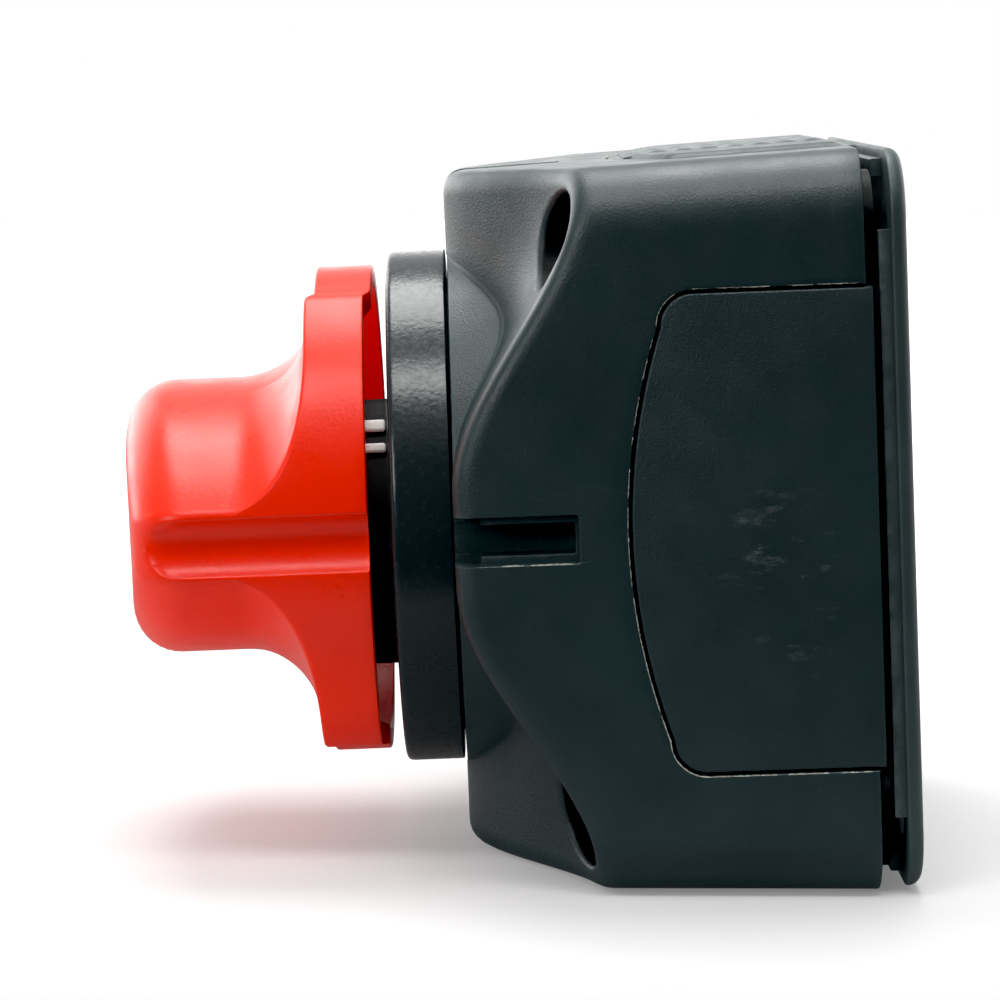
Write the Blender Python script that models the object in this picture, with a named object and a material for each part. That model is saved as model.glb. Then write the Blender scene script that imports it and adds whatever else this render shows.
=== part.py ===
"""Battery isolator switch in a 69 mm square housing, modelled piece by piece.

Frame: the origin is the centre of the rear mounting face, the knob's axis lies along Y with the knob
at -Y, +Z is up, and the knob's pointer faces +X. Lengths are in millimetres until place() turns them
into metres. "Forward" is the distance from the rear mounting face towards the knob.
"""
import math

import bmesh
import bpy
from mathutils import Matrix, Vector

MM = 0.001
GAP = 0.3                  # clearance between neighbouring pieces
ROUND = 48                 # sides of the large round pieces
SMALL_ROUND = 16           # sides of screws, studs and washers

# housing
HOUSING_REAR = 3.9         # forward position of its rear edge
REAR_HALF = 34.5           # half width at the rear edge
DRAFT = math.radians(2.05)
CORNER = 6.0               # radius of its long edges
WALL = 2.6
FRONT_WALL = 3.4
LOBE_FRONT = 42.1          # front of the side middles
BOSS_FRONT = 42.0          # front of the round boss that carries the bezel
BOSS_RADIUS = 25.7
BOSS_FLARE = 0.15          # growth of the boss's radius for each millimetre towards the rear
SCOOP_DEPTH = 11.9         # how far the corners are set back
SCOOP_START = 4.5
SCOOP_WIDTH = 27.0
SCOOP_BLEND = 3.0          # exponent that joins the two directions of a corner scoop
EDGE = 2.2                 # rounding between the sides and the front
BOSS_FILLET = 1.2
CAVITY_RADIUS = 22.7
CAVITY_FRONT = 38.6
FRONT_BORE = 19.0

# fixings in the four corners
MOUNT_PITCH_X = 56.0
MOUNT_PITCH_Z = 54.0
MOUNT_HOLE = 2.6
MOUNT_HEAD = 4.25          # radius of the deep recess for a mounting screw's head
MOUNT_HEAD_FLOOR = 14.0
POST_RADIUS = 5.4
POST_REAR = 2.9
SCREW_X = 19.5
SCREW_Z = 29.4
SCREW_HEAD_FRONT = 4.3
COLUMN_RADIUS = 1.9

# interlock slot in the middle of each side
SLOT_HALF = 2.2
SLOT_INNER_HALF = 1.45
SLOT_END = 30.65
SLOT_LEDGE = 1.1
SLOT_DEPTH = 4.5
SLOT_POCKET = 39.7
PAD_HALF = 4.2             # half width of the thicker wall behind a slot
PAD_START = 24.9
PAD_END = 35.0

# side panels
PANEL_HALF = 22.0
PANEL_REAR = 3.3
PANEL_FRONT = 25.8
PANEL_BOW = 3.2
PANEL_CORNER = 3.0
PANEL_THICK = 2.2
RIB_COUNT = 8
RIB_START = 1.6
RIB_PITCH = 2.5
RIB_WIDTH = 1.3
RIB_HEIGHT = 0.6
RIB_HALF_LENGTH = 9.0
FIELD_HEIGHT = 0.42        # raised field that the ribs stand on
FIELD_MARGIN = 1.2

# rear cover
COVER_HALF = 34.3
COVER_THICK = 1.5
LIP_FRONT = 2.6
LIP_HALF_LENGTH = 27.0
LIP_OUTER = 33.3
LIP_THICK = 1.6

# bezel
BEZEL_RADIUS = 25.4
BEZEL_FRONT = 48.0
BEZEL_CHAMFER = 0.6
NECK_RADIUS = 10.4
NECK_FRONT = 53.4
NECK_BORE = 8.3
SPIGOT_RADIUS = 18.7
GASKET_INNER = 20.5
GASKET_OUTER = 22.5
GASKET_THICK = 1.2
LUG_RADIUS = 21.1          # index lug that stands on the bezel's front, inside the knob's cup
LUG_THICK = 2.5
LUG_FRONT = 52.8
LUG_LOW = math.radians(-39.3)
LUG_HIGH = math.radians(35.4)
MARK_HEIGHT = 0.6
MARK_LENGTH = 2.4
DETENT_X = 14.0
DETENT_POCKET = 2.2
DETENT_END = 44.5
BALL_RADIUS = 1.8
DETENT_COIL = 1.3
DETENT_WIRE = 0.2
DETENT_LENGTH = 1.8

# knob
KNOB_FRONT = 74.3
KNOB_CROWN = 0.004          # fall of the front for each square millimetre of x
KNOB_RADIUS = 24.6         # pointer sector of the flange
RIM_RADIUS = 24.1          # the rest of the flange
SECTOR = math.radians(66.0)
SECTOR_REAR = 50.2
RIM_REAR = 49.5
FLANGE_FRONT = 55.9
GRIP_HALF = 13.4           # half width of the grip at its middle
TIP_HALF = 3.3             # half width of the grip at its tips
GRIP_CORNER = 4.5
COVE_START = 63.3
COVE_REACH = 8.0
CUP_RADIUS = 22.0
CUP_FRONT = 54.0
GROOVE_RADIUS = 3.4
GROOVE_CENTRE = 26.4
KNOB_TURN = math.radians(1.5)  # play of the knob on its square, towards ON

# shaft and cam
SHAFT_RADIUS = 8.0
SHAFT_SQUARE = 11.0
SHAFT_REAR = 32.0
SHAFT_FRONT = 65.5
SQUARE_HOLE = 11.6
SEAL_CENTRE = 45.1
SEAL_RADIUS = 9.1          # radius of the ring's centre line
SEAL_SECTION = 0.85
SEAL_SEAT_RADIUS = 10.2
SEAL_SEAT_HALF = 1.3
CLIP_CENTRE = 60.5
CLIP_BORE = 6.6
CLIP_RADIUS = 8.5
CLIP_SEAT_HALF = 0.7
HUB_REAR = 31.6
SCREW_SHANK = 1.5
SCREW_FRONT = 42.5
CAM_OUTER = 16.5
CAM_INNER = 9.7
TRAVEL = 3.0               # stroke of the bridge for a quarter turn
CAM_START = math.radians(4.0)
CAM_END = math.radians(176.0)
CAM_LOW = 28.6
CAM_GAP = 0.4
ROTOR_FRONT = 38.1

# contacts
BLOCK_REAR = 13.0
BLOCK_FRONT = 19.0
STUD_X = 16.0
STUD_RADIUS = 4.9
NUT_FLATS = 17.0
PAD_REAR = 15.4
PAD_FRONT = 17.9
PAD_RADIUS = 7.4
BRIDGE_REAR = 22.5
BRIDGE_FRONT = 25.2
BRIDGE_HALF_X = 21.5
BRIDGE_HALF_Z = 5.5
RIVET_X = 12.8
RIVET_HOLE = 1.6
TIP_X = 18.0
CARRIER_REAR = 25.5
PILLAR_Z = 21.5
PILLAR_HALF_X = 3.0
PILLAR_HALF_Z = 2.5
PILLAR_FRONT = 31.5
SPRING_REAR = 14.9
SPRING_TURNS = 3
RETURN_COIL = 4.8
RETURN_WIRE = 0.45
RETURN_LENGTH = 3.4


def place(x, forward, z):
    """A point in metres from millimetres across, forward and up."""
    return Vector((x, -forward, z)) * MM


def axial(a, b, c):
    """Outline coordinates a, b across the knob's axis, and c forward along it."""
    return place(a, c, b)


def side_frame(side):
    """A mapping onto one drafted side: a along the edge, b forward along the face, c outward."""
    turn = Matrix.Rotation(side * math.pi / 2, 3, "Y")

    def mapping(a, b, c):
        x = REAR_HALF + c * math.cos(DRAFT) - b * math.sin(DRAFT)
        forward = HOUSING_REAR + b * math.cos(DRAFT) + c * math.sin(DRAFT)
        return turn @ place(x, forward, a)

    return mapping


def clear_scene():
    for item in list(bpy.data.objects):
        bpy.data.objects.remove(item, do_unlink=True)


def principled(name, colour, roughness, metallic=0.0):
    material = bpy.data.materials.new(name)
    material.use_nodes = True
    shader = material.node_tree.nodes["Principled BSDF"]
    shader.inputs["Base Color"].default_value = (*colour, 1.0)
    shader.inputs["Roughness"].default_value = roughness
    shader.inputs["Metallic"].default_value = metallic
    return material


# ---- mesh helpers -------------------------------------------------------------------------------

def skin(mesh, ring, following):
    """Faces between two rings; a ring of one vertex is a pole."""
    if len(ring) == 1 and len(following) == 1:
        return
    count = max(len(ring), len(following))
    for index in range(count):
        around = [ring[index % len(ring)], ring[(index + 1) % len(ring)]]
        around += [following[(index + 1) % len(following)], following[index % len(following)]]
        mesh.faces.new(list(dict.fromkeys(around)))


def add_loft(mesh, rings, closed=False):
    """Skin rings of points; the ends are capped unless the last ring joins the first."""
    made = [[mesh.verts.new(point) for point in ring] for ring in rings]
    for ring, following in zip(made, made[1:]):
        skin(mesh, ring, following)
    if closed:
        skin(mesh, made[-1], made[0])
        return
    for ring in (made[0], made[-1]):
        if len(ring) > 2:
            mesh.faces.new(ring)


def add_prism(mesh, outline, low, high, mapping=axial):
    rings = [[mapping(a, b, level) for a, b in outline] for level in (low, high)]
    add_loft(mesh, rings)


def add_box(mesh, low, high, mapping=axial):
    """A box between two corners, each (a, b, c) in the mapping's coordinates."""
    outline = [(low[0], low[1]), (high[0], low[1]), (high[0], high[1]), (low[0], high[1])]
    add_prism(mesh, outline, low[2], high[2], mapping)


def add_turned(mesh, profile, sides=ROUND, centre=(0.0, 0.0)):
    """Turn a closed profile of (radius, forward) about an axis along Y."""
    rings = []
    for radius, forward in profile:
        if radius == 0.0:
            rings.append([place(centre[0], forward, centre[1])])
            continue
        ring = []
        for step in range(sides):
            angle = math.tau * step / sides
            x = centre[0] + radius * math.cos(angle)
            ring.append(place(x, forward, centre[1] + radius * math.sin(angle)))
        rings.append(ring)
    on_axis = profile[0][0] == 0.0 and profile[-1][0] == 0.0
    add_loft(mesh, rings, closed=not on_axis)


def square_outline(half, corner, flat_steps=10, corner_steps=3):
    """A rounded square, listed corner by corner."""
    points = []
    inner = half - corner
    for quarter in range(4):
        turn = quarter * math.pi / 2
        side = [(half, -inner + 2 * inner * step / flat_steps) for step in range(flat_steps)]
        for step in range(corner_steps + 1):
            angle = math.pi / 2 * step / (corner_steps + 1)
            side.append((inner + corner * math.cos(angle), inner + corner * math.sin(angle)))
        for x, z in side:
            turned_x = x * math.cos(turn) - z * math.sin(turn)
            points.append((turned_x, x * math.sin(turn) + z * math.cos(turn)))
    return points


def finished(name, mesh, material=None, at=None, parent=None, smooth=35.0):
    """Make the object: closed mesh, outward normals, smooth shading between sharp edges."""
    bmesh.ops.recalc_face_normals(mesh, faces=mesh.faces)
    data = bpy.data.meshes.new(name)
    mesh.to_mesh(data)
    mesh.free()
    data.shade_smooth()
    data.set_sharp_from_angle(angle=math.radians(smooth))
    return placed_object(name, data, material, at, parent)


def placed_object(name, data, material=None, at=None, parent=None):
    item = bpy.data.objects.new(name, data)
    bpy.context.collection.objects.link(item)
    if material and not data.materials:
        data.materials.append(material)
    if at:
        item.location = place(*at)
    if parent:
        item.parent = parent
    return item


def cutter(name, mesh):
    item = finished(name, mesh)
    item.hide_render = True
    item.display_type = "WIRE"
    return item


def combine(body, operation, other):
    modifier = body.modifiers.new(other.name, "BOOLEAN")
    modifier.operation = operation
    modifier.solver = "EXACT"
    modifier.object = other


def corners(x, z):
    return [(x, z), (-x, z), (-x, -z), (x, -z)]


# ---- housing ------------------------------------------------------------------------------------

def half_width(forward):
    return REAR_HALF - (forward - HOUSING_REAR) * math.tan(DRAFT)


def scoop_share(distance):
    """How far the scoop has developed at a distance from the middle of a side: 0 to 1."""
    t = min(max((abs(distance) - SCOOP_START) / SCOOP_WIDTH, 0.0), 1.0)
    return t * t * (3.0 - 2.0 * t)


def front_surface(x, z):
    """Forward position of the housing's front, with its four scooped corners."""
    shares = (scoop_share(x), scoop_share(z))
    if min(shares) < 1e-4:
        return LOBE_FRONT
    total = shares[0] ** -SCOOP_BLEND + shares[1] ** -SCOOP_BLEND - 1.0
    return LOBE_FRONT - SCOOP_DEPTH * total ** (-1.0 / SCOOP_BLEND)


def mix(start, end, share):
    return tuple(a + (b - a) * share for a, b in zip(start, end))


def rounded(start, corner, end, share):
    """A point on the curve that leaves start towards corner and arrives at end."""
    return mix(mix(start, corner, share), mix(corner, end, share), share)


def boss_base(direction):
    """Radius and forward position where the boss meets the scooped front."""
    radius = BOSS_RADIUS
    for _ in range(4):
        level = front_surface(radius * direction[0], radius * direction[1])
        radius = BOSS_RADIUS + BOSS_FLARE * (BOSS_FRONT - level)
    return radius, level


def outer_column(index):
    """One line of points from the rear edge, along a side and over the front, to the bore."""
    def on_side(forward):
        x, z = square_outline(half_width(forward), CORNER)[index]
        return x, forward, z

    edge = on_side(LOBE_FRONT)
    edge = on_side(front_surface(edge[0], edge[2]))
    length = math.hypot(edge[0], edge[2])
    direction = (edge[0] / length, edge[2] / length)

    def on_front(radius):
        x, z = radius * direction[0], radius * direction[1]
        return x, front_surface(x, z), z

    side_end = on_side(edge[1] - EDGE)
    front_start = on_front(length - EDGE)
    column = [on_side(HOUSING_REAR + (side_end[1] - HOUSING_REAR) * step / 3) for step in range(4)]
    column += [rounded(side_end, edge, front_start, share) for share in (0.3, 0.65)]
    base, level = boss_base(direction)
    fillet = min(BOSS_FILLET, 0.4 * (BOSS_FRONT - level))
    front_end = base + fillet
    for step in range(7):
        column.append(on_front(length - EDGE + (front_end - length + EDGE) * step / 6))
    wall_start = (base * direction[0], level + fillet, base * direction[1])
    foot = (base * direction[0], level, base * direction[1])
    column += [rounded(column[-1], foot, wall_start, 0.5), wall_start]
    column.append((BOSS_RADIUS * direction[0], BOSS_FRONT, BOSS_RADIUS * direction[1]))
    column.append((FRONT_BORE * direction[0], BOSS_FRONT, FRONT_BORE * direction[1]))
    return column


def inner_column(index):
    """The matching line inside, from the bore back to the rear edge."""
    x, z = square_outline(half_width(LOBE_FRONT) - WALL, CORNER - WALL)[index]
    length = math.hypot(x, z)
    direction = (x / length, z / length)
    column = [(radius * direction[0], CAVITY_FRONT, radius * direction[1])
              for radius in (FRONT_BORE, CAVITY_RADIUS)]
    for step in range(4):
        radius = CAVITY_RADIUS + GAP + (length - CAVITY_RADIUS - GAP) * step / 3
        across, up = radius * direction[0], radius * direction[1]
        column.append((across, front_surface(across, up) - FRONT_WALL, up))
    last = column[-1][1]
    for step in range(1, 3):
        forward = last + (HOUSING_REAR - last) * step / 2
        x, z = square_outline(half_width(forward) - WALL, CORNER - WALL)[index]
        column.append((x, forward, z))
    return column


def panel_outline(margin=0.0, rear=PANEL_REAR):
    """Outline of a side panel in its face: straight sides, a bowed front and rounded corners."""
    half = PANEL_HALF + margin
    front = PANEL_FRONT - HOUSING_REAR + margin
    outline = [(-half, rear - HOUSING_REAR), (half, rear - HOUSING_REAR)]
    shoulder = front - PANEL_BOW
    corner = PANEL_CORNER + margin
    for step in range(4):
        angle = math.pi / 2 * step / 4
        across = half - corner * (1 - math.cos(angle))
        outline.append((across, shoulder - corner * (1 - math.sin(angle))))
    top_half = half - corner
    for step in range(11):
        across = top_half * (1 - step / 5)
        outline.append((across, shoulder + PANEL_BOW * (1 - (across / top_half) ** 2)))
    mirrored = [(-across, forward) for across, forward in reversed(outline[2:6])]
    return outline + mirrored


def build_housing(material):
    columns = []
    for index in range(len(square_outline(REAR_HALF, CORNER))):
        columns.append(outer_column(index) + inner_column(index))
    rings = [[place(*column[level]) for column in columns] for level in range(len(columns[0]))]
    mesh = bmesh.new()
    add_loft(mesh, rings, closed=True)
    housing = finished("housing", mesh, material)
    combine(housing, "UNION", housing_posts())
    combine(housing, "UNION", housing_pads())
    for item in housing_cutters():
        combine(housing, "DIFFERENCE", item)
    return housing


def add_post(mesh, centre, radius, rear):
    """A round post that ends inside the scooped front wall."""
    rings = [[place(centre[0], rear, centre[1])], [], [], []]
    for step in range(SMALL_ROUND):
        angle = math.tau * step / SMALL_ROUND
        x = centre[0] + radius * math.cos(angle)
        z = centre[1] + radius * math.sin(angle)
        rings[1].append(place(x, rear, z))
        rings[2].append(place(x, front_surface(x, z) - FRONT_WALL / 2, z))
    rings[3] = [place(centre[0], front_surface(*centre) - FRONT_WALL / 2, centre[1])]
    add_loft(mesh, rings)


def housing_posts():
    """Corner posts around the mounting holes, and columns for the base screws."""
    mesh = bmesh.new()
    for centre in corners(MOUNT_PITCH_X / 2, MOUNT_PITCH_Z / 2):
        add_post(mesh, centre, POST_RADIUS, POST_REAR)
    for centre in corners(SCREW_X, SCREW_Z):
        add_post(mesh, centre, COLUMN_RADIUS, BLOCK_FRONT + GAP)
    return cutter("housing_post_guide", mesh)


def housing_pads():
    """Thicker wall behind each interlock slot."""
    mesh = bmesh.new()
    for side in range(4):
        low = (-PAD_HALF, PAD_START, -SLOT_DEPTH - 2.3)
        add_box(mesh, low, (PAD_HALF, PAD_END, -1.5), side_frame(side))
    return cutter("housing_pad_guide", mesh)


def housing_cutters():
    holes = bmesh.new()
    for centre in corners(MOUNT_PITCH_X / 2, MOUNT_PITCH_Z / 2):
        profile = [(0.0, 0.0), (MOUNT_HOLE, 0.0), (MOUNT_HOLE, MOUNT_HEAD_FLOOR)]
        profile += [(MOUNT_HEAD, MOUNT_HEAD_FLOOR), (MOUNT_HEAD, 45.0), (0.0, 45.0)]
        add_turned(holes, profile, 32, centre)
    pilot_front = BLOCK_FRONT + 9.0
    for centre in corners(SCREW_X, SCREW_Z):
        profile = [(0.0, BLOCK_REAR), (1.05, BLOCK_REAR), (1.05, pilot_front), (0.0, pilot_front)]
        add_turned(holes, profile, 12, centre)
    windows = bmesh.new()
    ledges = bmesh.new()
    channels = bmesh.new()
    pockets = bmesh.new()
    end = SLOT_END - HOUSING_REAR
    pocket = SLOT_POCKET - HOUSING_REAR
    for side in range(4):
        frame = side_frame(side)
        add_prism(windows, panel_outline(GAP, -2.0), -WALL - 0.3, 2.0, frame)
        add_box(ledges, (-SLOT_HALF, end, -SLOT_LEDGE), (SLOT_HALF, 45.0, 2.0), frame)
        inner = SLOT_INNER_HALF
        add_box(channels, (-inner, end + 0.35, -SLOT_DEPTH), (inner, 46.0, 3.0), frame)
        mouth = SLOT_HALF + 0.06
        add_box(pockets, (-mouth, pocket, -SLOT_DEPTH + 0.2), (mouth, 47.0, 4.0), frame)
    names = ("mount_hole_cut", "window_cut", "slot_ledge_cut", "slot_channel_cut", "slot_pocket_cut")
    meshes = (holes, windows, ledges, channels, pockets)
    return [cutter(name, mesh) for name, mesh in zip(names, meshes)]


def build_side_panels(material):
    names = ("side_panel_right", "side_panel_bottom", "side_panel_left", "side_panel_top")
    for side, name in enumerate(names):
        mesh = bmesh.new()
        add_prism(mesh, panel_outline(), -PANEL_THICK, 0.0, side_frame(side))
        panel = finished(name, mesh, material)
        if name == "side_panel_top":
            combine(panel, "UNION", panel_field(side))
            combine(panel, "UNION", panel_ribs(side))


def panel_field(side):
    """The raised field of the top panel, set in from its edge all round."""
    mesh = bmesh.new()
    outline = panel_outline(-FIELD_MARGIN, PANEL_REAR + FIELD_MARGIN)
    add_prism(mesh, outline, -FIELD_HEIGHT, FIELD_HEIGHT, side_frame(side))
    return cutter("panel_field_guide", mesh)


def panel_ribs(side):
    """Low grip ribs across the raised field."""
    mesh = bmesh.new()
    for step in range(RIB_COUNT):
        start = RIB_START + RIB_PITCH * step
        low = (-RIB_HALF_LENGTH, start, -RIB_HEIGHT)
        add_box(mesh, low, (RIB_HALF_LENGTH, start + RIB_WIDTH, RIB_HEIGHT), side_frame(side))
    return cutter("panel_rib_guide", mesh)


def build_rear_cover(material):
    mesh = bmesh.new()
    rounding = 1.2
    steps = [(COVER_THICK, 0.0), (rounding, 0.0)]
    for step in range(1, 5):
        angle = math.pi / 2 * step / 4
        steps.append((rounding * (1 - math.sin(angle)), rounding * (1 - math.cos(angle))))
    rings = []
    for forward, inset in steps:
        outline = square_outline(COVER_HALF - inset, CORNER - inset)
        rings.append([place(x, forward, z) for x, z in outline])
    add_loft(mesh, rings)
    cover = finished("rear_cover", mesh, material)
    lips = bmesh.new()
    for side in range(4):
        turn = Matrix.Rotation(side * math.pi / 2, 3, "Y")

        def across(a, b, c, turn=turn):
            return turn @ place(b, c, a)

        low = (-LIP_HALF_LENGTH, LIP_OUTER - LIP_THICK, COVER_THICK - 0.5)
        add_box(lips, low, (LIP_HALF_LENGTH, LIP_OUTER, LIP_FRONT), across)
    combine(cover, "UNION", cutter("cover_lip_guide", lips))
    holes = bmesh.new()
    for centre in corners(MOUNT_PITCH_X / 2, MOUNT_PITCH_Z / 2):
        profile = [(0.0, -1.0), (MOUNT_HOLE, -1.0), (MOUNT_HOLE, 2.0), (0.0, 2.0)]
        add_turned(holes, profile, SMALL_ROUND, centre)
    combine(cover, "DIFFERENCE", cutter("cover_hole_cut", holes))


# ---- bezel and knob -----------------------------------------------------------------------------

def build_bezel(material, seal_material, mark_material):
    rear = BOSS_FRONT + GAP
    profile = [(BEZEL_RADIUS, rear), (BEZEL_RADIUS, BEZEL_FRONT - BEZEL_CHAMFER)]
    profile += [(BEZEL_RADIUS - BEZEL_CHAMFER, BEZEL_FRONT), (NECK_RADIUS, BEZEL_FRONT)]
    profile += [(NECK_RADIUS, NECK_FRONT - 0.4), (NECK_RADIUS - 0.4, NECK_FRONT)]
    profile += [(NECK_BORE, NECK_FRONT), (NECK_BORE, SEAL_CENTRE + SEAL_SEAT_HALF)]
    profile += [(SEAL_SEAT_RADIUS, SEAL_CENTRE + SEAL_SEAT_HALF)]
    profile += [(SEAL_SEAT_RADIUS, SEAL_CENTRE - SEAL_SEAT_HALF)]
    profile += [(NECK_BORE, SEAL_CENTRE - SEAL_SEAT_HALF)]
    profile += [(NECK_BORE, CAVITY_FRONT), (SPIGOT_RADIUS, CAVITY_FRONT), (SPIGOT_RADIUS, rear)]
    inner, outer, depth = GASKET_INNER - 0.2, GASKET_OUTER + 0.2, GASKET_THICK
    profile += [(inner, rear), (inner, rear + depth), (outer, rear + depth), (outer, rear)]
    mesh = bmesh.new()
    add_turned(mesh, profile, 64)
    bezel = finished("front_bezel", mesh, material)
    pocket = bmesh.new()
    profile = [(0.0, 37.0), (DETENT_POCKET, 37.0), (DETENT_POCKET, DETENT_END), (0.0, DETENT_END)]
    add_turned(pocket, profile, SMALL_ROUND, (DETENT_X, 0.0))
    combine(bezel, "DIFFERENCE", cutter("detent_pocket_cut", pocket))
    lug = bmesh.new()
    bearings = [LUG_LOW + (LUG_HIGH - LUG_LOW) * step / 16 for step in range(17)]
    outline = [(LUG_RADIUS * math.cos(angle), LUG_RADIUS * math.sin(angle)) for angle in bearings]
    inner = LUG_RADIUS - LUG_THICK
    outline += [(inner * math.cos(angle), inner * math.sin(angle)) for angle in reversed(bearings)]
    add_prism(lug, outline, BEZEL_FRONT - 1.0, LUG_FRONT)
    combine(bezel, "UNION", cutter("index_lug_guide", lug))

    mesh = bmesh.new()
    low = rear - 0.2
    high = low + GASKET_THICK
    add_turned(mesh, [(GASKET_INNER, low), (GASKET_OUTER, low), (GASKET_OUTER, high), (GASKET_INNER, high)])
    finished("bezel_gasket", mesh, seal_material)

    for name, angle, width in (("index_mark_upper", 27.2, 1.3), ("index_mark_lower", 21.3, 1.0)):
        mesh = bmesh.new()
        radius = LUG_RADIUS + 0.05
        low = (radius, -width / 2, BEZEL_FRONT + GAP)
        add_box(mesh, low, (radius + MARK_HEIGHT, width / 2, BEZEL_FRONT + MARK_LENGTH))
        mark = finished(name, mesh, mark_material)
        mark.rotation_euler = (0.0, -math.radians(angle), 0.0)


def build_detent(steel):
    mesh = bmesh.new()
    profile = [(0.0, -BALL_RADIUS)]
    for step in range(1, 8):
        angle = -math.pi / 2 + math.pi * step / 8
        profile.append((BALL_RADIUS * math.cos(angle), BALL_RADIUS * math.sin(angle)))
    profile.append((0.0, BALL_RADIUS))
    add_turned(mesh, profile, 12)
    centre = ROTOR_FRONT + 0.4 + BALL_RADIUS
    finished("detent_ball", mesh, steel, at=(DETENT_X, centre, 0.0))
    rear = centre + BALL_RADIUS + GAP
    build_spring("detent_spring", steel, (DETENT_X, rear, 0.0), DETENT_COIL, DETENT_WIRE, DETENT_LENGTH)


def build_spring(name, material, at, radius, wire, length):
    """A round-wire coil spring along Y, from its rear end forward, with a gap between its turns."""
    turns = SPRING_TURNS
    steps = turns * 16
    rings = []
    for step in range(steps + 1):
        angle = math.tau * turns * step / steps
        forward = length * step / steps
        ring = []
        for side in range(8):
            around = math.tau * side / 8
            out = radius + wire * math.cos(around)
            ring.append(place(out * math.cos(angle), forward + wire * math.sin(around), out * math.sin(angle)))
        rings.append(ring)
    start, end = place(radius, 0.0, 0.0), place(radius, length, 0.0)
    mesh = bmesh.new()
    add_loft(mesh, [[start]] + rings + [[end]])
    bmesh.ops.triangulate(mesh, faces=mesh.faces)
    finished(name, mesh, material, at=at)


def lens_half_width(x):
    """Half width of the grip at a distance x from its middle: an arc over the knob's width."""
    reach = math.sqrt(KNOB_RADIUS ** 2 - TIP_HALF ** 2)
    sagitta = GRIP_HALF - TIP_HALF
    radius = (reach ** 2 + sagitta ** 2) / (2 * sagitta)
    return GRIP_HALF - radius + math.sqrt(radius ** 2 - x ** 2)


def grip_outline(flank_steps=18, tip_steps=3):
    """Points (x, z) and outward normals around the grip: two flanks joined by round tips."""
    reach = math.sqrt(KNOB_RADIUS ** 2 - TIP_HALF ** 2)
    radius = (reach ** 2 + (GRIP_HALF - TIP_HALF) ** 2) / (2 * (GRIP_HALF - TIP_HALF))
    tip_angle = math.asin(TIP_HALF / KNOB_RADIUS)
    half = []
    for step in range(tip_steps):
        angle = -tip_angle + 2 * tip_angle * (step + 0.5) / tip_steps
        normal = (math.cos(angle), math.sin(angle))
        half.append((KNOB_RADIUS * normal[0], KNOB_RADIUS * normal[1], normal, 0.0))
    for step in range(flank_steps + 1):
        x = reach * (1 - 2 * step / flank_steps)
        z = lens_half_width(x)
        normal = (x / radius, (z + radius - GRIP_HALF) / radius)
        half.append((x, z, normal, 1.0))
    other = [(-x, -z, (-normal[0], -normal[1]), flank) for x, z, normal, flank in half]
    return half + other


def cove_level(distance):
    """Forward position of the knob's cove at a distance out from the grip's flank."""
    share = max(0.0, 1.0 - distance / COVE_REACH)
    drop = COVE_START - FLANGE_FRONT
    return FLANGE_FRONT + drop * (1.0 - math.sqrt(1.0 - share * share))


def reach_to_rim(x, z, normal, radius):
    """Distance along the normal from a point of the outline to the flange's cylinder."""
    along = x * normal[0] + z * normal[1]
    return -along + math.sqrt(max(along * along - (x * x + z * z - radius * radius), 0.0))


def crowned(x):
    """Forward position of the knob's front at a distance x from its middle."""
    return KNOB_FRONT - KNOB_CROWN * x ** 2


def knob_column(x, z, normal, flank):
    """One line of points from the grip's front, down its flank and the cove, to the flange's rear."""
    column = []
    for share in (0.0, 0.5, 0.8, 1.0):
        depth = GRIP_CORNER * (1 - math.sqrt(1 - share ** 2))
        inset = GRIP_CORNER * (1 - share)
        inner_x = x * (1 - inset / KNOB_RADIUS)
        column.append((inner_x, crowned(inner_x) - depth, z * (1 - inset / GRIP_HALF)))
    column.append((x, COVE_START + 0.5, z))
    distance = reach_to_rim(x, z, normal, KNOB_RADIUS) if flank else 0.0
    bearing = math.atan2(z + distance * normal[1], x + distance * normal[0])
    in_sector = abs(bearing) < SECTOR
    radius = KNOB_RADIUS if in_sector else RIM_RADIUS
    if flank:
        distance = max(reach_to_rim(x, z, normal, radius), 0.02)
    for step in range(1, 8):
        out = distance * (1 - math.cos(math.pi / 2 * step / 7)) if flank else 0.0
        level = cove_level(out) if flank else COVE_START - step
        column.append((x + out * normal[0], level, z + out * normal[1]))
    rear = SECTOR_REAR if in_sector else RIM_REAR
    last = column[-1]
    column.append((last[0], (last[1] + rear) / 2, last[2]))
    column.append((last[0], rear, last[2]))
    return column


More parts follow.
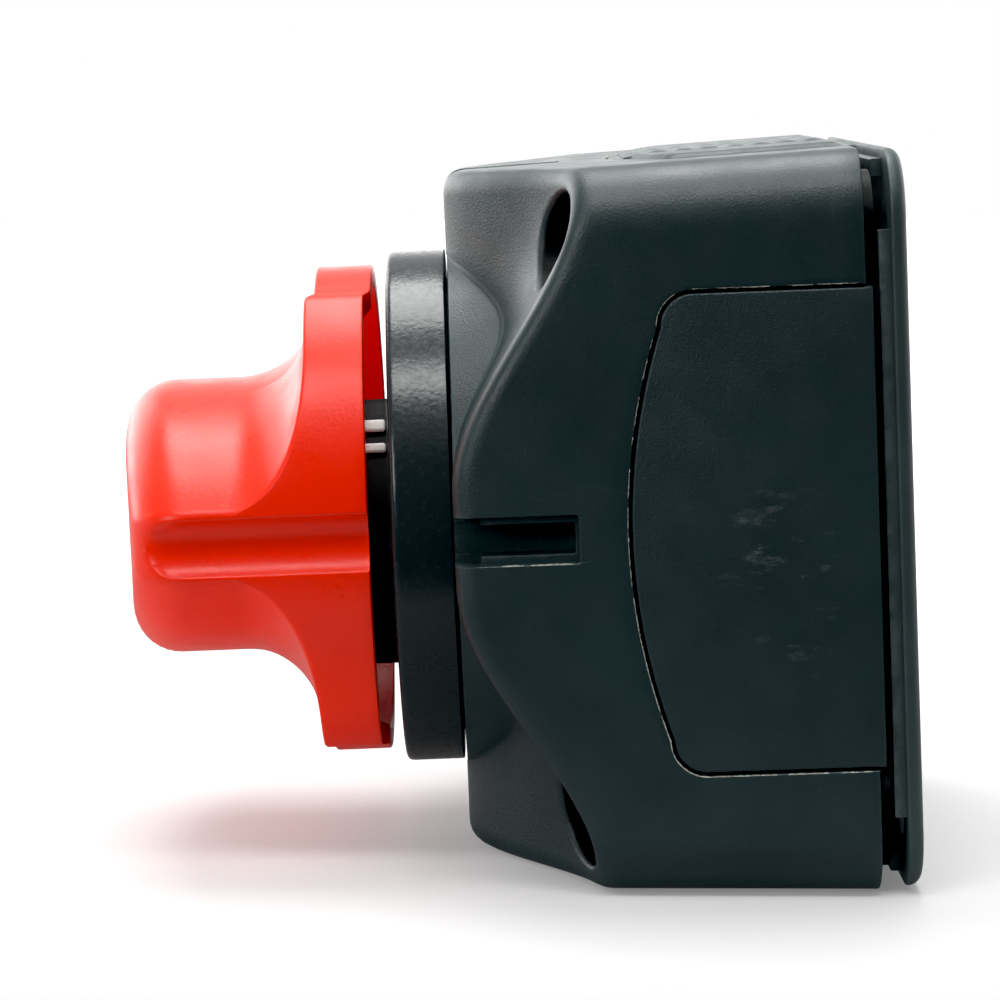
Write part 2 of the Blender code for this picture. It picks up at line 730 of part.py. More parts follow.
def build_knob(material, parent):
    columns = [knob_column(*sample) for sample in grip_outline()]
    rings = [[place(*column[level]) for column in columns] for level in range(len(columns[0]))]
    middle = [place(column[0][0] / 2, crowned(column[0][0] / 2), column[0][2] / 2) for column in columns]
    mesh = bmesh.new()
    add_loft(mesh, [[place(0.0, KNOB_FRONT, 0.0)], middle] + rings)
    knob = finished("knob", mesh, material, parent=parent)
    knob.rotation_euler = (0.0, KNOB_TURN, 0.0)
    groove = bmesh.new()
    profile = [(0.0, 45.0), (GROOVE_RADIUS, 45.0), (GROOVE_RADIUS, 80.0), (0.0, 80.0)]
    add_turned(groove, profile, 32, (GROOVE_CENTRE, 0.0))
    groove_cutter = cutter("knob_groove_cut", groove)
    groove_cutter.rotation_euler = knob.rotation_euler
    combine(knob, "DIFFERENCE", groove_cutter)
    cup = bmesh.new()
    add_turned(cup, [(0.0, 45.0), (CUP_RADIUS, 45.0), (CUP_RADIUS, CUP_FRONT), (0.0, CUP_FRONT)])
    combine(knob, "DIFFERENCE", cutter("knob_cup_cut", cup))
    socket = bmesh.new()
    half = SQUARE_HOLE / 2
    add_box(socket, (-half, -half, CUP_FRONT - 2.0), (half, half, SHAFT_FRONT + 0.5))
    combine(knob, "DIFFERENCE", cutter("knob_socket_cut", socket))
    ring_seat = bmesh.new()
    low, high = CLIP_CENTRE - CLIP_SEAT_HALF, CLIP_CENTRE + CLIP_SEAT_HALF
    radius = CLIP_RADIUS + 0.4
    add_turned(ring_seat, [(0.0, low), (radius, low), (radius, high), (0.0, high)], 32)
    combine(knob, "DIFFERENCE", cutter("knob_clip_cut", ring_seat))
    hollows = bmesh.new()
    for sign in (-1, 1):
        outline = [(10.5, 8.5), (16.0, 6.0), (20.0, 3.0), (20.0, -3.0), (16.0, -6.0), (10.5, -8.5)]
        add_prism(hollows, [(sign * x, z) for x, z in outline], 52.5, 70.0)
    hollow_cutter = cutter("knob_hollow_cut", hollows)
    hollow_cutter.rotation_euler = knob.rotation_euler
    combine(knob, "DIFFERENCE", hollow_cutter)


def build_shaft(steel, rubber, parent):
    mesh = bmesh.new()
    low, high = ROTOR_FRONT + GAP, NECK_FRONT + 0.2
    add_turned(mesh, [(0.0, low), (SHAFT_RADIUS, low), (SHAFT_RADIUS, high), (0.0, high)])
    shaft = finished("drive_shaft", mesh, steel, parent=parent)
    square = bmesh.new()
    half = SHAFT_SQUARE / 2
    add_box(square, (-half, -half, SHAFT_REAR), (half, half, SHAFT_FRONT))
    combine(shaft, "UNION", cutter("shaft_square_guide", square))
    cuts = bmesh.new()
    low, high = CLIP_CENTRE - CLIP_SEAT_HALF, CLIP_CENTRE + CLIP_SEAT_HALF
    inner, outer = CLIP_BORE - GAP, CLIP_RADIUS + 1.0
    add_turned(cuts, [(inner, low), (outer, low), (outer, high), (inner, high)], 32)
    low, high = SHAFT_REAR - 2.0, SCREW_FRONT + 0.5
    radius = SCREW_SHANK + GAP
    add_turned(cuts, [(0.0, low), (radius, low), (radius, high), (0.0, high)], SMALL_ROUND)
    combine(shaft, "DIFFERENCE", cutter("shaft_cut", cuts))

    mesh = bmesh.new()
    section = []
    for step in range(10):
        angle = math.tau * step / 10
        radius = SEAL_RADIUS + SEAL_SECTION * math.cos(angle)
        section.append((radius, SEAL_CENTRE + SEAL_SECTION * math.sin(angle)))
    add_turned(mesh, section)
    finished("shaft_seal", mesh, rubber, parent=parent)

    mesh = bmesh.new()
    low, high = CLIP_CENTRE - 0.4, CLIP_CENTRE + 0.4
    add_turned(mesh, [(CLIP_BORE, low), (CLIP_RADIUS, low), (CLIP_RADIUS, high), (CLIP_BORE, high)], 32)
    clip = finished("retaining_clip", mesh, steel, parent=parent)
    opening = bmesh.new()
    add_box(opening, (5.0, -1.6, low - 1.0), (10.0, 1.6, high + 1.0))
    combine(clip, "DIFFERENCE", cutter("clip_opening_cut", opening))


# ---- cam and bridge -----------------------------------------------------------------------------

def cam_level(angle):
    """Height of the carrier's ramp: it rises by the bridge's travel in a quarter turn."""
    slope = TRAVEL / (math.pi / 2)
    return CAM_LOW + slope * (min(max(angle, CAM_START), CAM_END) - CAM_START)


def cam_sections(step_at, step_width):
    """Angles and ramp heights around the cam: two equal ramps, each ended by a steep step."""
    sections = []
    ramp_steps = 16
    for half_turn in (0.0, math.pi):
        sections.append((half_turn + step_at - math.pi + step_width, cam_level(0.0)))
        for step in range(ramp_steps + 1):
            angle = CAM_START + (CAM_END - CAM_START) * step / ramp_steps
            sections.append((half_turn + angle, cam_level(angle)))
        sections.append((half_turn + step_at, cam_level(math.pi)))
    return sections


def add_cam_ring(mesh, sections, inner, outer, base, lift=0.0):
    """A ring between base and the ramp; the ramp angle runs clockwise seen from the front."""
    rings = []
    for angle, level in sections:
        across, up = math.cos(angle), -math.sin(angle)
        top = level + lift
        section = ((inner, base), (outer, base), (outer, top), (inner, top))
        rings.append([place(radius * across, forward, radius * up) for radius, forward in section])
    add_loft(mesh, rings, closed=True)


def build_rotor(material, steel, parent):
    mesh = bmesh.new()
    sections = cam_sections(math.radians(178.6), math.radians(1.6))
    add_cam_ring(mesh, sections, CAM_INNER - 0.6, CAM_OUTER, ROTOR_FRONT, CAM_GAP)
    rotor = finished("cam_rotor", mesh, material, parent=parent)
    hub = bmesh.new()
    low, radius = HUB_REAR, CAM_INNER - 0.4
    add_turned(hub, [(0.0, low), (radius, low), (radius, ROTOR_FRONT), (0.0, ROTOR_FRONT)])
    combine(rotor, "UNION", cutter("rotor_hub_guide", hub))
    bore = bmesh.new()
    half = SQUARE_HOLE / 2
    add_box(bore, (-half, -half, HUB_REAR - 2.0), (half, half, ROTOR_FRONT + 2.0))
    combine(rotor, "DIFFERENCE", cutter("rotor_bore_cut", bore))
    screw = bmesh.new()
    front = HUB_REAR - GAP
    collar = front - 0.8
    head = collar - 1.6
    profile = [(0.0, head), (2.9, head), (3.4, head + 0.6), (3.4, collar), (8.0, collar)]
    profile += [(8.0, front), (SCREW_SHANK, front), (SCREW_SHANK, SCREW_FRONT), (0.0, SCREW_FRONT)]
    add_turned(screw, profile, SMALL_ROUND)
    finished("rotor_screw", screw, steel, parent=parent)


def build_carrier(material, parent):
    mesh = bmesh.new()
    sections = cam_sections(math.radians(176.5), math.radians(3.0))
    add_cam_ring(mesh, sections, CAM_INNER, CAM_OUTER, CARRIER_REAR)
    carrier = finished("bridge_carrier", mesh, material, parent=parent)
    ears = bmesh.new()
    for sign in (-1, 1):
        inner, outer = sorted((sign * 14.0, sign * 25.5))
        add_box(ears, (-5.5, inner, CARRIER_REAR), (5.5, outer, CARRIER_REAR + 2.7))
    combine(carrier, "UNION", cutter("carrier_ear_guide", ears))
    cuts = bmesh.new()
    for sign in (-1, 1):
        middle = sign * PILLAR_Z
        across, up = PILLAR_HALF_X + GAP, PILLAR_HALF_Z + GAP
        add_box(cuts, (-across, middle - up, 20.0), (across, middle + up, 32.0))
        profile = [(0.0, 24.0), (RIVET_HOLE, 24.0), (RIVET_HOLE, 28.0), (0.0, 28.0)]
        add_turned(cuts, profile, SMALL_ROUND, (sign * RIVET_X, 0.0))
    combine(carrier, "DIFFERENCE", cutter("carrier_cut", cuts))


def build_bridge(copper, silver, parent):
    mesh = bmesh.new()
    low = (-BRIDGE_HALF_X, -BRIDGE_HALF_Z, BRIDGE_REAR)
    add_box(mesh, low, (BRIDGE_HALF_X, BRIDGE_HALF_Z, BRIDGE_FRONT))
    bar = finished("contact_bridge", mesh, copper, parent=parent)
    cuts = bmesh.new()
    for sign in (-1, 1):
        profile = [(0.0, 20.0), (RIVET_HOLE, 20.0), (RIVET_HOLE, 27.0), (0.0, 27.0)]
        add_turned(cuts, profile, SMALL_ROUND, (sign * RIVET_X, 0.0))
    combine(bar, "DIFFERENCE", cutter("bridge_hole_cut", cuts))
    rivet = bmesh.new()
    profile = [(0.0, -0.9), (1.5, -0.8), (2.3, -0.3), (1.3, -0.3), (1.3, 5.2), (0.0, 5.2)]
    add_turned(rivet, profile, SMALL_ROUND)
    first = finished("bridge_rivet_1", rivet, copper, at=(RIVET_X, BRIDGE_REAR, 0.0), parent=parent)
    placed_object("bridge_rivet_2", first.data, at=(-RIVET_X, BRIDGE_REAR, 0.0), parent=parent)
    tip = bmesh.new()
    add_turned(tip, [(0.0, -1.3), (1.6, -1.3), (2.0, -0.9), (2.0, 0.0), (0.0, 0.0)], SMALL_ROUND)
    rear = BRIDGE_REAR - 0.1
    first = finished("contact_tip_1", tip, silver, at=(TIP_X, rear, 0.0), parent=parent)
    placed_object("contact_tip_2", first.data, at=(-TIP_X, rear, 0.0), parent=parent)


# ---- contact block and terminals ----------------------------------------------------------------

def build_contact_block(material):
    quarter = [(27.5, 12.0), (21.9, 22.0), (21.9, 31.2)]
    outline = quarter + [(-x, z) for x, z in reversed(quarter)]
    outline += [(-x, -z) for x, z in quarter] + [(x, -z) for x, z in reversed(quarter)]
    mesh = bmesh.new()
    add_prism(mesh, outline, BLOCK_REAR, BLOCK_FRONT)
    block = finished("contact_block", mesh, material)
    extras = bmesh.new()
    for sign in (-1, 1):
        middle = sign * PILLAR_Z
        low = (-PILLAR_HALF_X, middle - PILLAR_HALF_Z, BLOCK_FRONT - 2.0)
        add_box(extras, low, (PILLAR_HALF_X, middle + PILLAR_HALF_Z, PILLAR_FRONT))
    low, high = SCREW_HEAD_FRONT + GAP, BLOCK_REAR + 2.0
    for centre in corners(SCREW_X, SCREW_Z):
        profile = [(0.0, low), (COLUMN_RADIUS, low), (COLUMN_RADIUS, high), (0.0, high)]
        add_turned(extras, profile, SMALL_ROUND, centre)
    combine(block, "UNION", cutter("block_extra_guide", extras))
    cuts = bmesh.new()
    for centre in corners(SCREW_X, SCREW_Z):
        add_turned(cuts, [(0.0, 4.0), (1.1, 4.0), (1.1, 20.0), (0.0, 20.0)], 12, centre)
    for sign in (-1, 1):
        hole, seat, step = STUD_RADIUS + GAP, PAD_RADIUS + 0.4, PAD_REAR - GAP
        profile = [(0.0, 12.0), (hole, 12.0), (hole, step), (seat, step), (seat, 20.0), (0.0, 20.0)]
        add_turned(cuts, profile, 32, (sign * STUD_X, 0.0))
    floor = SPRING_REAR - 0.9
    add_turned(cuts, [(0.0, floor), (6.0, floor), (6.0, 20.0), (0.0, 20.0)], 32)
    combine(block, "DIFFERENCE", cutter("block_cut", cuts))


def stud_profile():
    """Round pad in front, threaded shank to the rear."""
    profile = [(0.0, PAD_FRONT), (PAD_RADIUS - 0.5, PAD_FRONT), (PAD_RADIUS, PAD_FRONT - 0.5)]
    profile += [(PAD_RADIUS, PAD_REAR), (STUD_RADIUS, PAD_REAR)]
    profile += [(STUD_RADIUS, 4.1), (STUD_RADIUS - 0.7, 3.4), (0.0, 3.4)]
    return profile


def add_nut(mesh, across_flats, bore, low, high):
    """A hexagon nut with chamfered ends around a round bore."""
    outer = across_flats / math.sqrt(3.0)
    chamfer = 0.5
    rings = []
    levels = ((low, 0.93), (low + chamfer, 1.0), (high - chamfer, 1.0), (high, 0.93))
    sides = 24
    for forward, scale in levels:
        ring = []
        for step in range(sides):
            angle = math.tau * step / sides
            within = (angle + math.pi / 6) % (math.pi / 3) - math.pi / 6
            hexagon = across_flats / 2 / math.cos(within)
            radius = min(hexagon, outer * scale)
            ring.append(place(radius * math.cos(angle), forward, radius * math.sin(angle)))
        rings.append(ring)
    for forward in (high, low):
        rings.append([place(bore * math.cos(math.tau * step / sides), forward,
                            bore * math.sin(math.tau * step / sides)) for step in range(sides)])
    add_loft(mesh, rings, closed=True)


def build_terminals(stud_material, steel):
    bore = STUD_RADIUS + GAP
    stud = bmesh.new()
    add_turned(stud, stud_profile(), SMALL_ROUND)
    flat = bmesh.new()
    add_turned(flat, [(bore, 11.1), (9.5, 11.1), (9.5, 12.7), (bore, 12.7)], 32)
    spring = bmesh.new()
    add_turned(spring, [(bore, 9.2), (8.3, 9.2), (8.3, 10.8), (bore, 10.8)], 32)
    nut = bmesh.new()
    add_nut(nut, NUT_FLATS, bore, 4.2, 8.9)
    pieces = (("terminal_stud", stud, stud_material), ("flat_washer", flat, steel),
              ("spring_washer", spring, steel), ("stud_nut", nut, steel))
    for name, mesh, material in pieces:
        first = finished(name + "_right", mesh, material, at=(STUD_X, 0.0, 0.0))
        second = placed_object(name + "_left", first.data, at=(-STUD_X, 0.0, 0.0))
        if name == "spring_washer":
            split = bmesh.new()
            for x in (-STUD_X, STUD_X):
                add_box(split, (x + 4.0, -0.5, 8.0), (x + 9.5, 0.5, 12.0))
            split_cutter = cutter("washer_split_cut", split)
            combine(first, "DIFFERENCE", split_cutter)
            combine(second, "DIFFERENCE", split_cutter)


def build_base_screws(steel):
    front = SCREW_HEAD_FRONT
    profile = [(0.0, 2.95), (0.8, 3.0), (1.3, 3.3), (1.6, 3.8), (1.6, front), (0.85, front)]
    profile += [(0.85, 25.5), (0.0, 27.0)]
    mesh = bmesh.new()
    add_turned(mesh, profile, 12)
    spots = corners(SCREW_X, SCREW_Z)
    first = finished("base_screw_1", mesh, steel, at=(spots[0][0], 0.0, spots[0][1]))
    for number, (x, z) in enumerate(spots, start=1):
        item = first
        if number > 1:
            item = placed_object(f"base_screw_{number}", first.data, at=(x, 0.0, z))
        slot = bmesh.new()
        add_box(slot, (x - 2.0, z - 0.2, 2.0), (x + 2.0, z + 0.2, 3.5))
        combine(item, "DIFFERENCE", cutter(f"screw_slot_cut_{number}", slot))


def axis_empty(name):
    item = bpy.data.objects.new(name, None)
    bpy.context.collection.objects.link(item)
    return item


def main():
    clear_scene()
    black = principled("moulded black", (0.016, 0.021, 0.023), 0.55)
    gloss_black = principled("gloss black", (0.020, 0.025, 0.027), 0.22)
    red = principled("knob red", (0.80, 0.012, 0.004), 0.32)
    pale = principled("pale mark", (0.80, 0.80, 0.78), 0.45)
    insulator = principled("insulator", (0.05, 0.05, 0.055), 0.6)
    rubber = principled("rubber", (0.02, 0.02, 0.02), 0.8)
    steel = principled("zinc steel", (0.62, 0.62, 0.63), 0.3, 1.0)
    brass = principled("tinned brass", (0.75, 0.68, 0.45), 0.3, 1.0)
    copper = principled("copper", (0.72, 0.36, 0.22), 0.3, 1.0)
    silver = principled("silver", (0.85, 0.85, 0.84), 0.25, 1.0)

    knob_axis = axis_empty("knob_turn_axis")
    bridge_axis = axis_empty("bridge_slide_axis")

    build_housing(black)
    build_side_panels(black)
    build_rear_cover(black)
    build_bezel(gloss_black, rubber, pale)
    build_detent(steel)
    build_contact_block(insulator)
    build_terminals(brass, steel)
    build_base_screws(steel)
    build_spring("return_spring", steel, (0.0, SPRING_REAR, 0.0), RETURN_COIL, RETURN_WIRE, RETURN_LENGTH)

    build_knob(red, knob_axis)
    build_shaft(steel, rubber, knob_axis)
    build_rotor(insulator, steel, knob_axis)
    build_carrier(insulator, bridge_axis)
    build_bridge(copper, silver, bridge_axis)


main()
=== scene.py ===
"""Looks for the battery isolator switch: fine pieces, materials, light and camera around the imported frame.

Lengths are in millimetres until place() turns them into metres. "Forward" is the distance from the
rear mounting face towards the knob, which is -Y in the row frame.
"""

import random
from math import asin, atan2, copysign, cos, hypot, pi, radians, sin, sqrt, tan, tau

import bmesh
import bpy
from mathutils import Matrix, Vector, noise


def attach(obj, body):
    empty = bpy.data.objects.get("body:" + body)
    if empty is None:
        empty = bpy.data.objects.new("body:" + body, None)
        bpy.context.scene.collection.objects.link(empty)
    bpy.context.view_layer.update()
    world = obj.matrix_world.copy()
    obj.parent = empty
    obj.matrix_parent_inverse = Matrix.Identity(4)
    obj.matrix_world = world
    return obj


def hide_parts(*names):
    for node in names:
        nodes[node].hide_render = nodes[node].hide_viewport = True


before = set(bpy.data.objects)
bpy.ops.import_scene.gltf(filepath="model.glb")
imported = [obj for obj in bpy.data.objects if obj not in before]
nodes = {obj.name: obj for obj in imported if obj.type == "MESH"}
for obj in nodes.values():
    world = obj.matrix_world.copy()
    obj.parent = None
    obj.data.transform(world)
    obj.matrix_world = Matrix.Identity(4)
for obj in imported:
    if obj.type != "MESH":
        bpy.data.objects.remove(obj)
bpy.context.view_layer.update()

MM = 0.001
GAP = 0.3
SIDES = ("right", "bottom", "left", "top")

# housing
HOUSING_REAR = 3.9
REAR_HALF = 34.5
DRAFT = radians(2.05)
CORNER = 6.0
WALL = 2.6
FRONT_WALL = 3.4
LOBE_FRONT = 42.1
BOSS_FRONT = 42.0
BOSS_RADIUS = 25.7
BOSS_FLARE = 0.15
SCOOP_DEPTH = 11.9
SCOOP_START = 4.5
SCOOP_WIDTH = 27.0
SCOOP_BLEND = 3.0
EDGE = 2.2
BOSS_FILLET = 0.5
CAVITY_RADIUS = 22.7
CAVITY_FRONT = 38.6
FRONT_BORE = 19.0

# fixings
MOUNT_X = 28.0
MOUNT_Z = 27.0
MOUNT_HOLE = 2.6
MOUNT_HEAD = 4.25
MOUNT_HEAD_FLOOR = 14.0
POST_RADIUS = 5.4
POST_REAR = 2.9
SCREW_X = 19.5
SCREW_Z = 29.4
COLUMN_RADIUS = 1.9
BLOCK_REAR = 13.0
BLOCK_FRONT = 19.0

# slots in the middle of each side
SLOT_HALF = 2.2
SLOT_INNER_HALF = 1.45
SLOT_END = 30.65
SLOT_LEDGE = 1.1
SLOT_DEPTH = 4.5
SLOT_POCKET = 39.7

# side panels
PANEL_HALF = 22.0
PANEL_REAR = 3.3
PANEL_FRONT = 25.8
PANEL_BOW = 3.2
PANEL_CORNER = 3.0
PANEL_THICK = 2.2
FIELD_MARGIN = 1.2
FIELD_HEIGHT = 0.42
RIB_PITCH = 2.5

# rear cover
COVER_HALF = 34.3
COVER_THICK = 1.5
LIP_FRONT = 2.6
LIP_HALF_LENGTH = 27.0
LIP_OUTER = 33.3
LIP_THICK = 1.6

# bezel
BEZEL_RADIUS = 25.4
BEZEL_FRONT = 48.0
NECK_RADIUS = 10.4
LUG_RADIUS = 21.1
LUG_THICK = 2.5
LUG_FRONT = 52.8
LUG_LOW = radians(-39.3)
LUG_HIGH = radians(35.4)
NECK_FRONT = 53.4
NECK_BORE = 8.3
SPIGOT_RADIUS = 18.7

# knob
KNOB_FRONT = 74.3
KNOB_CROWN = 0.004
KNOB_RADIUS = 24.6
RIM_RADIUS = 24.1
SECTOR = radians(66.0)
SECTOR_REAR = 50.2
RIM_REAR = 49.5
SECTOR_FRONT = 55.9
RIM_FRONT = 55.0
GRIP_HALF = 13.4
TIP_HALF = 3.3
GRIP_CORNER = 4.5
COVE_START = 63.3
COVE_REACH = 8.0
CUP_RADIUS = 22.0
CUP_FRONT = 54.0
GROOVE_RADIUS = 3.4
GROOVE_CENTRE = 26.4
KNOB_TURN = radians(1.5)


def place(x, forward, z):
    """A point in metres from millimetres across, forward and up."""
    return Vector((x, -forward, z)) * MM


def axial(a, b, c):
    """Outline coordinates a, b across the knob's axis, and c forward along it."""
    return place(a, c, b)


def side_frame(side):
    """A mapping onto one drafted side: a along the edge, b forward along the face, c outward."""
    turn = Matrix.Rotation(side * pi / 2, 3, "Y")

    def mapping(a, b, c):
        x = REAR_HALF + c * cos(DRAFT) - b * sin(DRAFT)
        forward = HOUSING_REAR + b * cos(DRAFT) + c * sin(DRAFT)
        return turn @ place(x, forward, a)

    return mapping


# ---- mesh helpers -------------------------------------------------------------------------------

def skin(mesh, ring, following):
    """Faces between two rings; a ring of one vertex is a pole."""
    if len(ring) == 1 and len(following) == 1:
        return
    count = max(len(ring), len(following))
    for index in range(count):
        around = [ring[index % len(ring)], ring[(index + 1) % len(ring)]]
        around += [following[(index + 1) % len(following)], following[index % len(following)]]
        mesh.faces.new(list(dict.fromkeys(around)))


def add_loft(mesh, rings, closed=False):
    """Skin rings of points; the ends are capped unless the last ring joins the first."""
    made = [[mesh.verts.new(point) for point in ring] for ring in rings]
    for ring, following in zip(made, made[1:]):
        skin(mesh, ring, following)
    if closed:
        skin(mesh, made[-1], made[0])
        return
    for ring in (made[0], made[-1]):
        if len(ring) > 2:
            mesh.faces.new(ring)


def circle(centre, radius, forward, sides):
    """A ring of points about an axis along Y; forward is a number or a function of x and z."""
    points = []
    for step in range(sides):
        angle = tau * step / sides
        x = centre[0] + radius * cos(angle)
        z = centre[1] + radius * sin(angle)
        points.append(place(x, forward(x, z) if callable(forward) else forward, z))
    return points


def add_turned(mesh, profile, sides=96, centre=(0.0, 0.0)):
    """Turn a closed profile of (radius, forward) about an axis along Y."""
    rings = []
    for radius, forward in profile:
        count = sides if radius else 1
        rings.append(circle(centre, radius, forward, count))
    on_axis = profile[0][0] == 0.0 and profile[-1][0] == 0.0
    add_loft(mesh, rings, closed=not on_axis)


def rounded_profile(points, steps=5):
    """Replace each (radius, forward, rounding) corner of a closed profile by an arc."""
    result = []
    count = len(points)
    for index, (x, y, size) in enumerate(points):
        if size == 0.0:
            result.append((x, y))
            continue
        before = Vector(points[index - 1][:2]) - Vector((x, y))
        after = Vector(points[(index + 1) % count][:2]) - Vector((x, y))
        start = Vector((x, y)) + before.normalized() * size
        end = Vector((x, y)) + after.normalized() * size
        for step in range(steps + 1):
            t = step / steps
            point = start * (1 - t) ** 2 + Vector((x, y)) * 2 * t * (1 - t) + end * t ** 2
            result.append((point.x, point.y))
    return result


def add_item(name, data):
    item = bpy.data.objects.new(name, data)
    bpy.context.scene.collection.objects.link(item)
    return item


def new_object(name, mesh, smooth=38.0):
    """A closed mesh with outward normals, smooth between sharp edges."""
    bmesh.ops.recalc_face_normals(mesh, faces=mesh.faces)
    data = bpy.data.meshes.new(name)
    mesh.to_mesh(data)
    mesh.free()
    data.shade_smooth()
    data.set_sharp_from_angle(angle=radians(smooth))
    return add_item(name, data)


def carve(item, steps, smooth=38.0):
    """Run (operation, mesh) booleans on item, keep the result as its mesh, and drop the tools."""
    tools = []
    for number, (operation, mesh) in enumerate(steps):
        tool = new_object(f"{item.name}_tool_{number}", mesh)
        modifier = item.modifiers.new(tool.name, "BOOLEAN")
        modifier.operation = operation
        modifier.solver = "EXACT"
        modifier.object = tool
        tools.append(tool)
    bpy.context.view_layer.update()
    graph = bpy.context.evaluated_depsgraph_get()
    result = bpy.data.meshes.new_from_object(item.evaluated_get(graph))
    item.modifiers.clear()
    item.data = result
    for tool in tools:
        bpy.data.objects.remove(tool, do_unlink=True)
    result.shade_smooth()
    result.set_sharp_from_angle(angle=radians(smooth))


def drop_strays(item, reach):
    """Delete what the booleans left standing further than reach from the axis, along x or z."""
    mesh = bmesh.new()
    mesh.from_mesh(item.data)
    strays = [vert for vert in mesh.verts if max(abs(vert.co.x), abs(vert.co.z)) > reach * MM]
    bmesh.ops.delete(mesh, geom=strays, context="VERTS")
    mesh.to_mesh(item.data)
    mesh.free()


def finish_piece(item, material, body, slot, *replaced):
    item.data.materials.clear()
    item.data.materials.append(material)
    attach(item, body)
    if replaced:
        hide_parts(*replaced)
    return item


def corners(x, z):
    return [(x, z), (-x, z), (-x, -z), (x, -z)]


def smoothstep(t):
    t = min(max(t, 0.0), 1.0)
    return t * t * (3.0 - 2.0 * t)


# ---- materials ----------------------------------------------------------------------------------

class Graph:
    """Small helper to write the node tree of a material or a world."""

    def __init__(self, owner, space="Object"):
        owner.use_nodes = True
        self.owner = owner
        self.tree = owner.node_tree
        self.shader = self.tree.nodes.get("Principled BSDF")
        self.position = self.tree.nodes.new("ShaderNodeTexCoord").outputs[space]

    def node(self, kind, inputs=(), **settings):
        made = self.tree.nodes.new(kind)
        for key, value in settings.items():
            setattr(made, key, value)
        for key, value in dict(inputs).items():
            self.put(made.inputs[key], value)
        return made

    def put(self, socket, value):
        if isinstance(value, bpy.types.NodeSocket):
            self.tree.links.new(value, socket)
        else:
            socket.default_value = value

    def set(self, key, value):
        """Give one of the shader's own inputs a value or a link."""
        self.put(self.shader.inputs[key], value)

    def axis(self, key):
        return self.node("ShaderNodeSeparateXYZ", {"Vector": self.position}).outputs[key]

    def noise(self, scale, detail=2.0, roughness=0.5, position=None):
        made = self.node("ShaderNodeTexNoise", {"Scale": scale, "Detail": detail, "Roughness": roughness})
        self.put(made.inputs["Vector"], position or self.position)
        return made.outputs["Fac"]

    def ramp(self, value, low, high, out_low=0.0, out_high=1.0):
        made = self.node("ShaderNodeMapRange", {"Value": value, "From Min": low, "From Max": high,
                                                "To Min": out_low, "To Max": out_high})
        made.clamp = True
        return made.outputs["Result"]

    def math(self, operation, first, second=0.0):
        made = self.node("ShaderNodeMath", operation=operation)
        self.put(made.inputs[0], first)
        self.put(made.inputs[1], second)
        return made.outputs[0]

    def blend(self, share, first, second):
        made = self.node("ShaderNodeMix", data_type="RGBA")
        self.put(made.inputs[0], share)
        self.put(made.inputs[6], first)
        self.put(made.inputs[7], second)
        return made.outputs[2]

    def stretched(self, scale, rotation=(0.0, 0.0, 0.0)):
        made = self.node("ShaderNodeMapping", {"Vector": self.position, "Scale": scale, "Rotation": rotation})
        return made.outputs["Vector"]

    def bump(self, height, strength, distance, normal=None):
        made = self.node("ShaderNodeBump", {"Height": height, "Strength": strength, "Distance": distance})
        if normal:
            self.put(made.inputs["Normal"], normal)
        return made.outputs["Normal"]

    def ball(self, centre, radius):
        """1 at a point of the row frame, falling to 0 at a distance."""
        made = self.node("ShaderNodeVectorMath", operation="DISTANCE")
        self.put(made.inputs[0], self.position)
        made.inputs[1].default_value = centre
        return self.ramp(made.outputs["Value"], radius, 0.0)


def rgba(red, green, blue):
    """Linear colour from display values of 0 to 255."""
    def linear(value):
        share = value / 255.0
        return share / 12.92 if share <= 0.04045 else ((share + 0.055) / 1.055) ** 2.4

    return (linear(red), linear(green), linear(blue), 1.0)


def painted_recess_shade(graph):
    """Painted shade: 1 on the walls of the screw recesses and behind the housing's rear edge, 0 elsewhere."""
    across = graph.math("SUBTRACT", graph.math("ABSOLUTE", graph.axis("X")), MOUNT_X * MM)
    height = graph.math("SUBTRACT", graph.math("ABSOLUTE", graph.axis("Z")), MOUNT_Z * MM)
    reach = graph.math("SQRT", graph.math("ADD", graph.math("MULTIPLY", across, across),
                                          graph.math("MULTIPLY", height, height)))
    recess = graph.ramp(reach, (MOUNT_HEAD + 0.16) * MM, (MOUNT_HEAD + 0.04) * MM)
    rear = graph.ramp(graph.axis("Y"), -HOUSING_REAR * MM, -(HOUSING_REAR - 0.1) * MM)
    return graph.math("MAXIMUM", recess, rear)


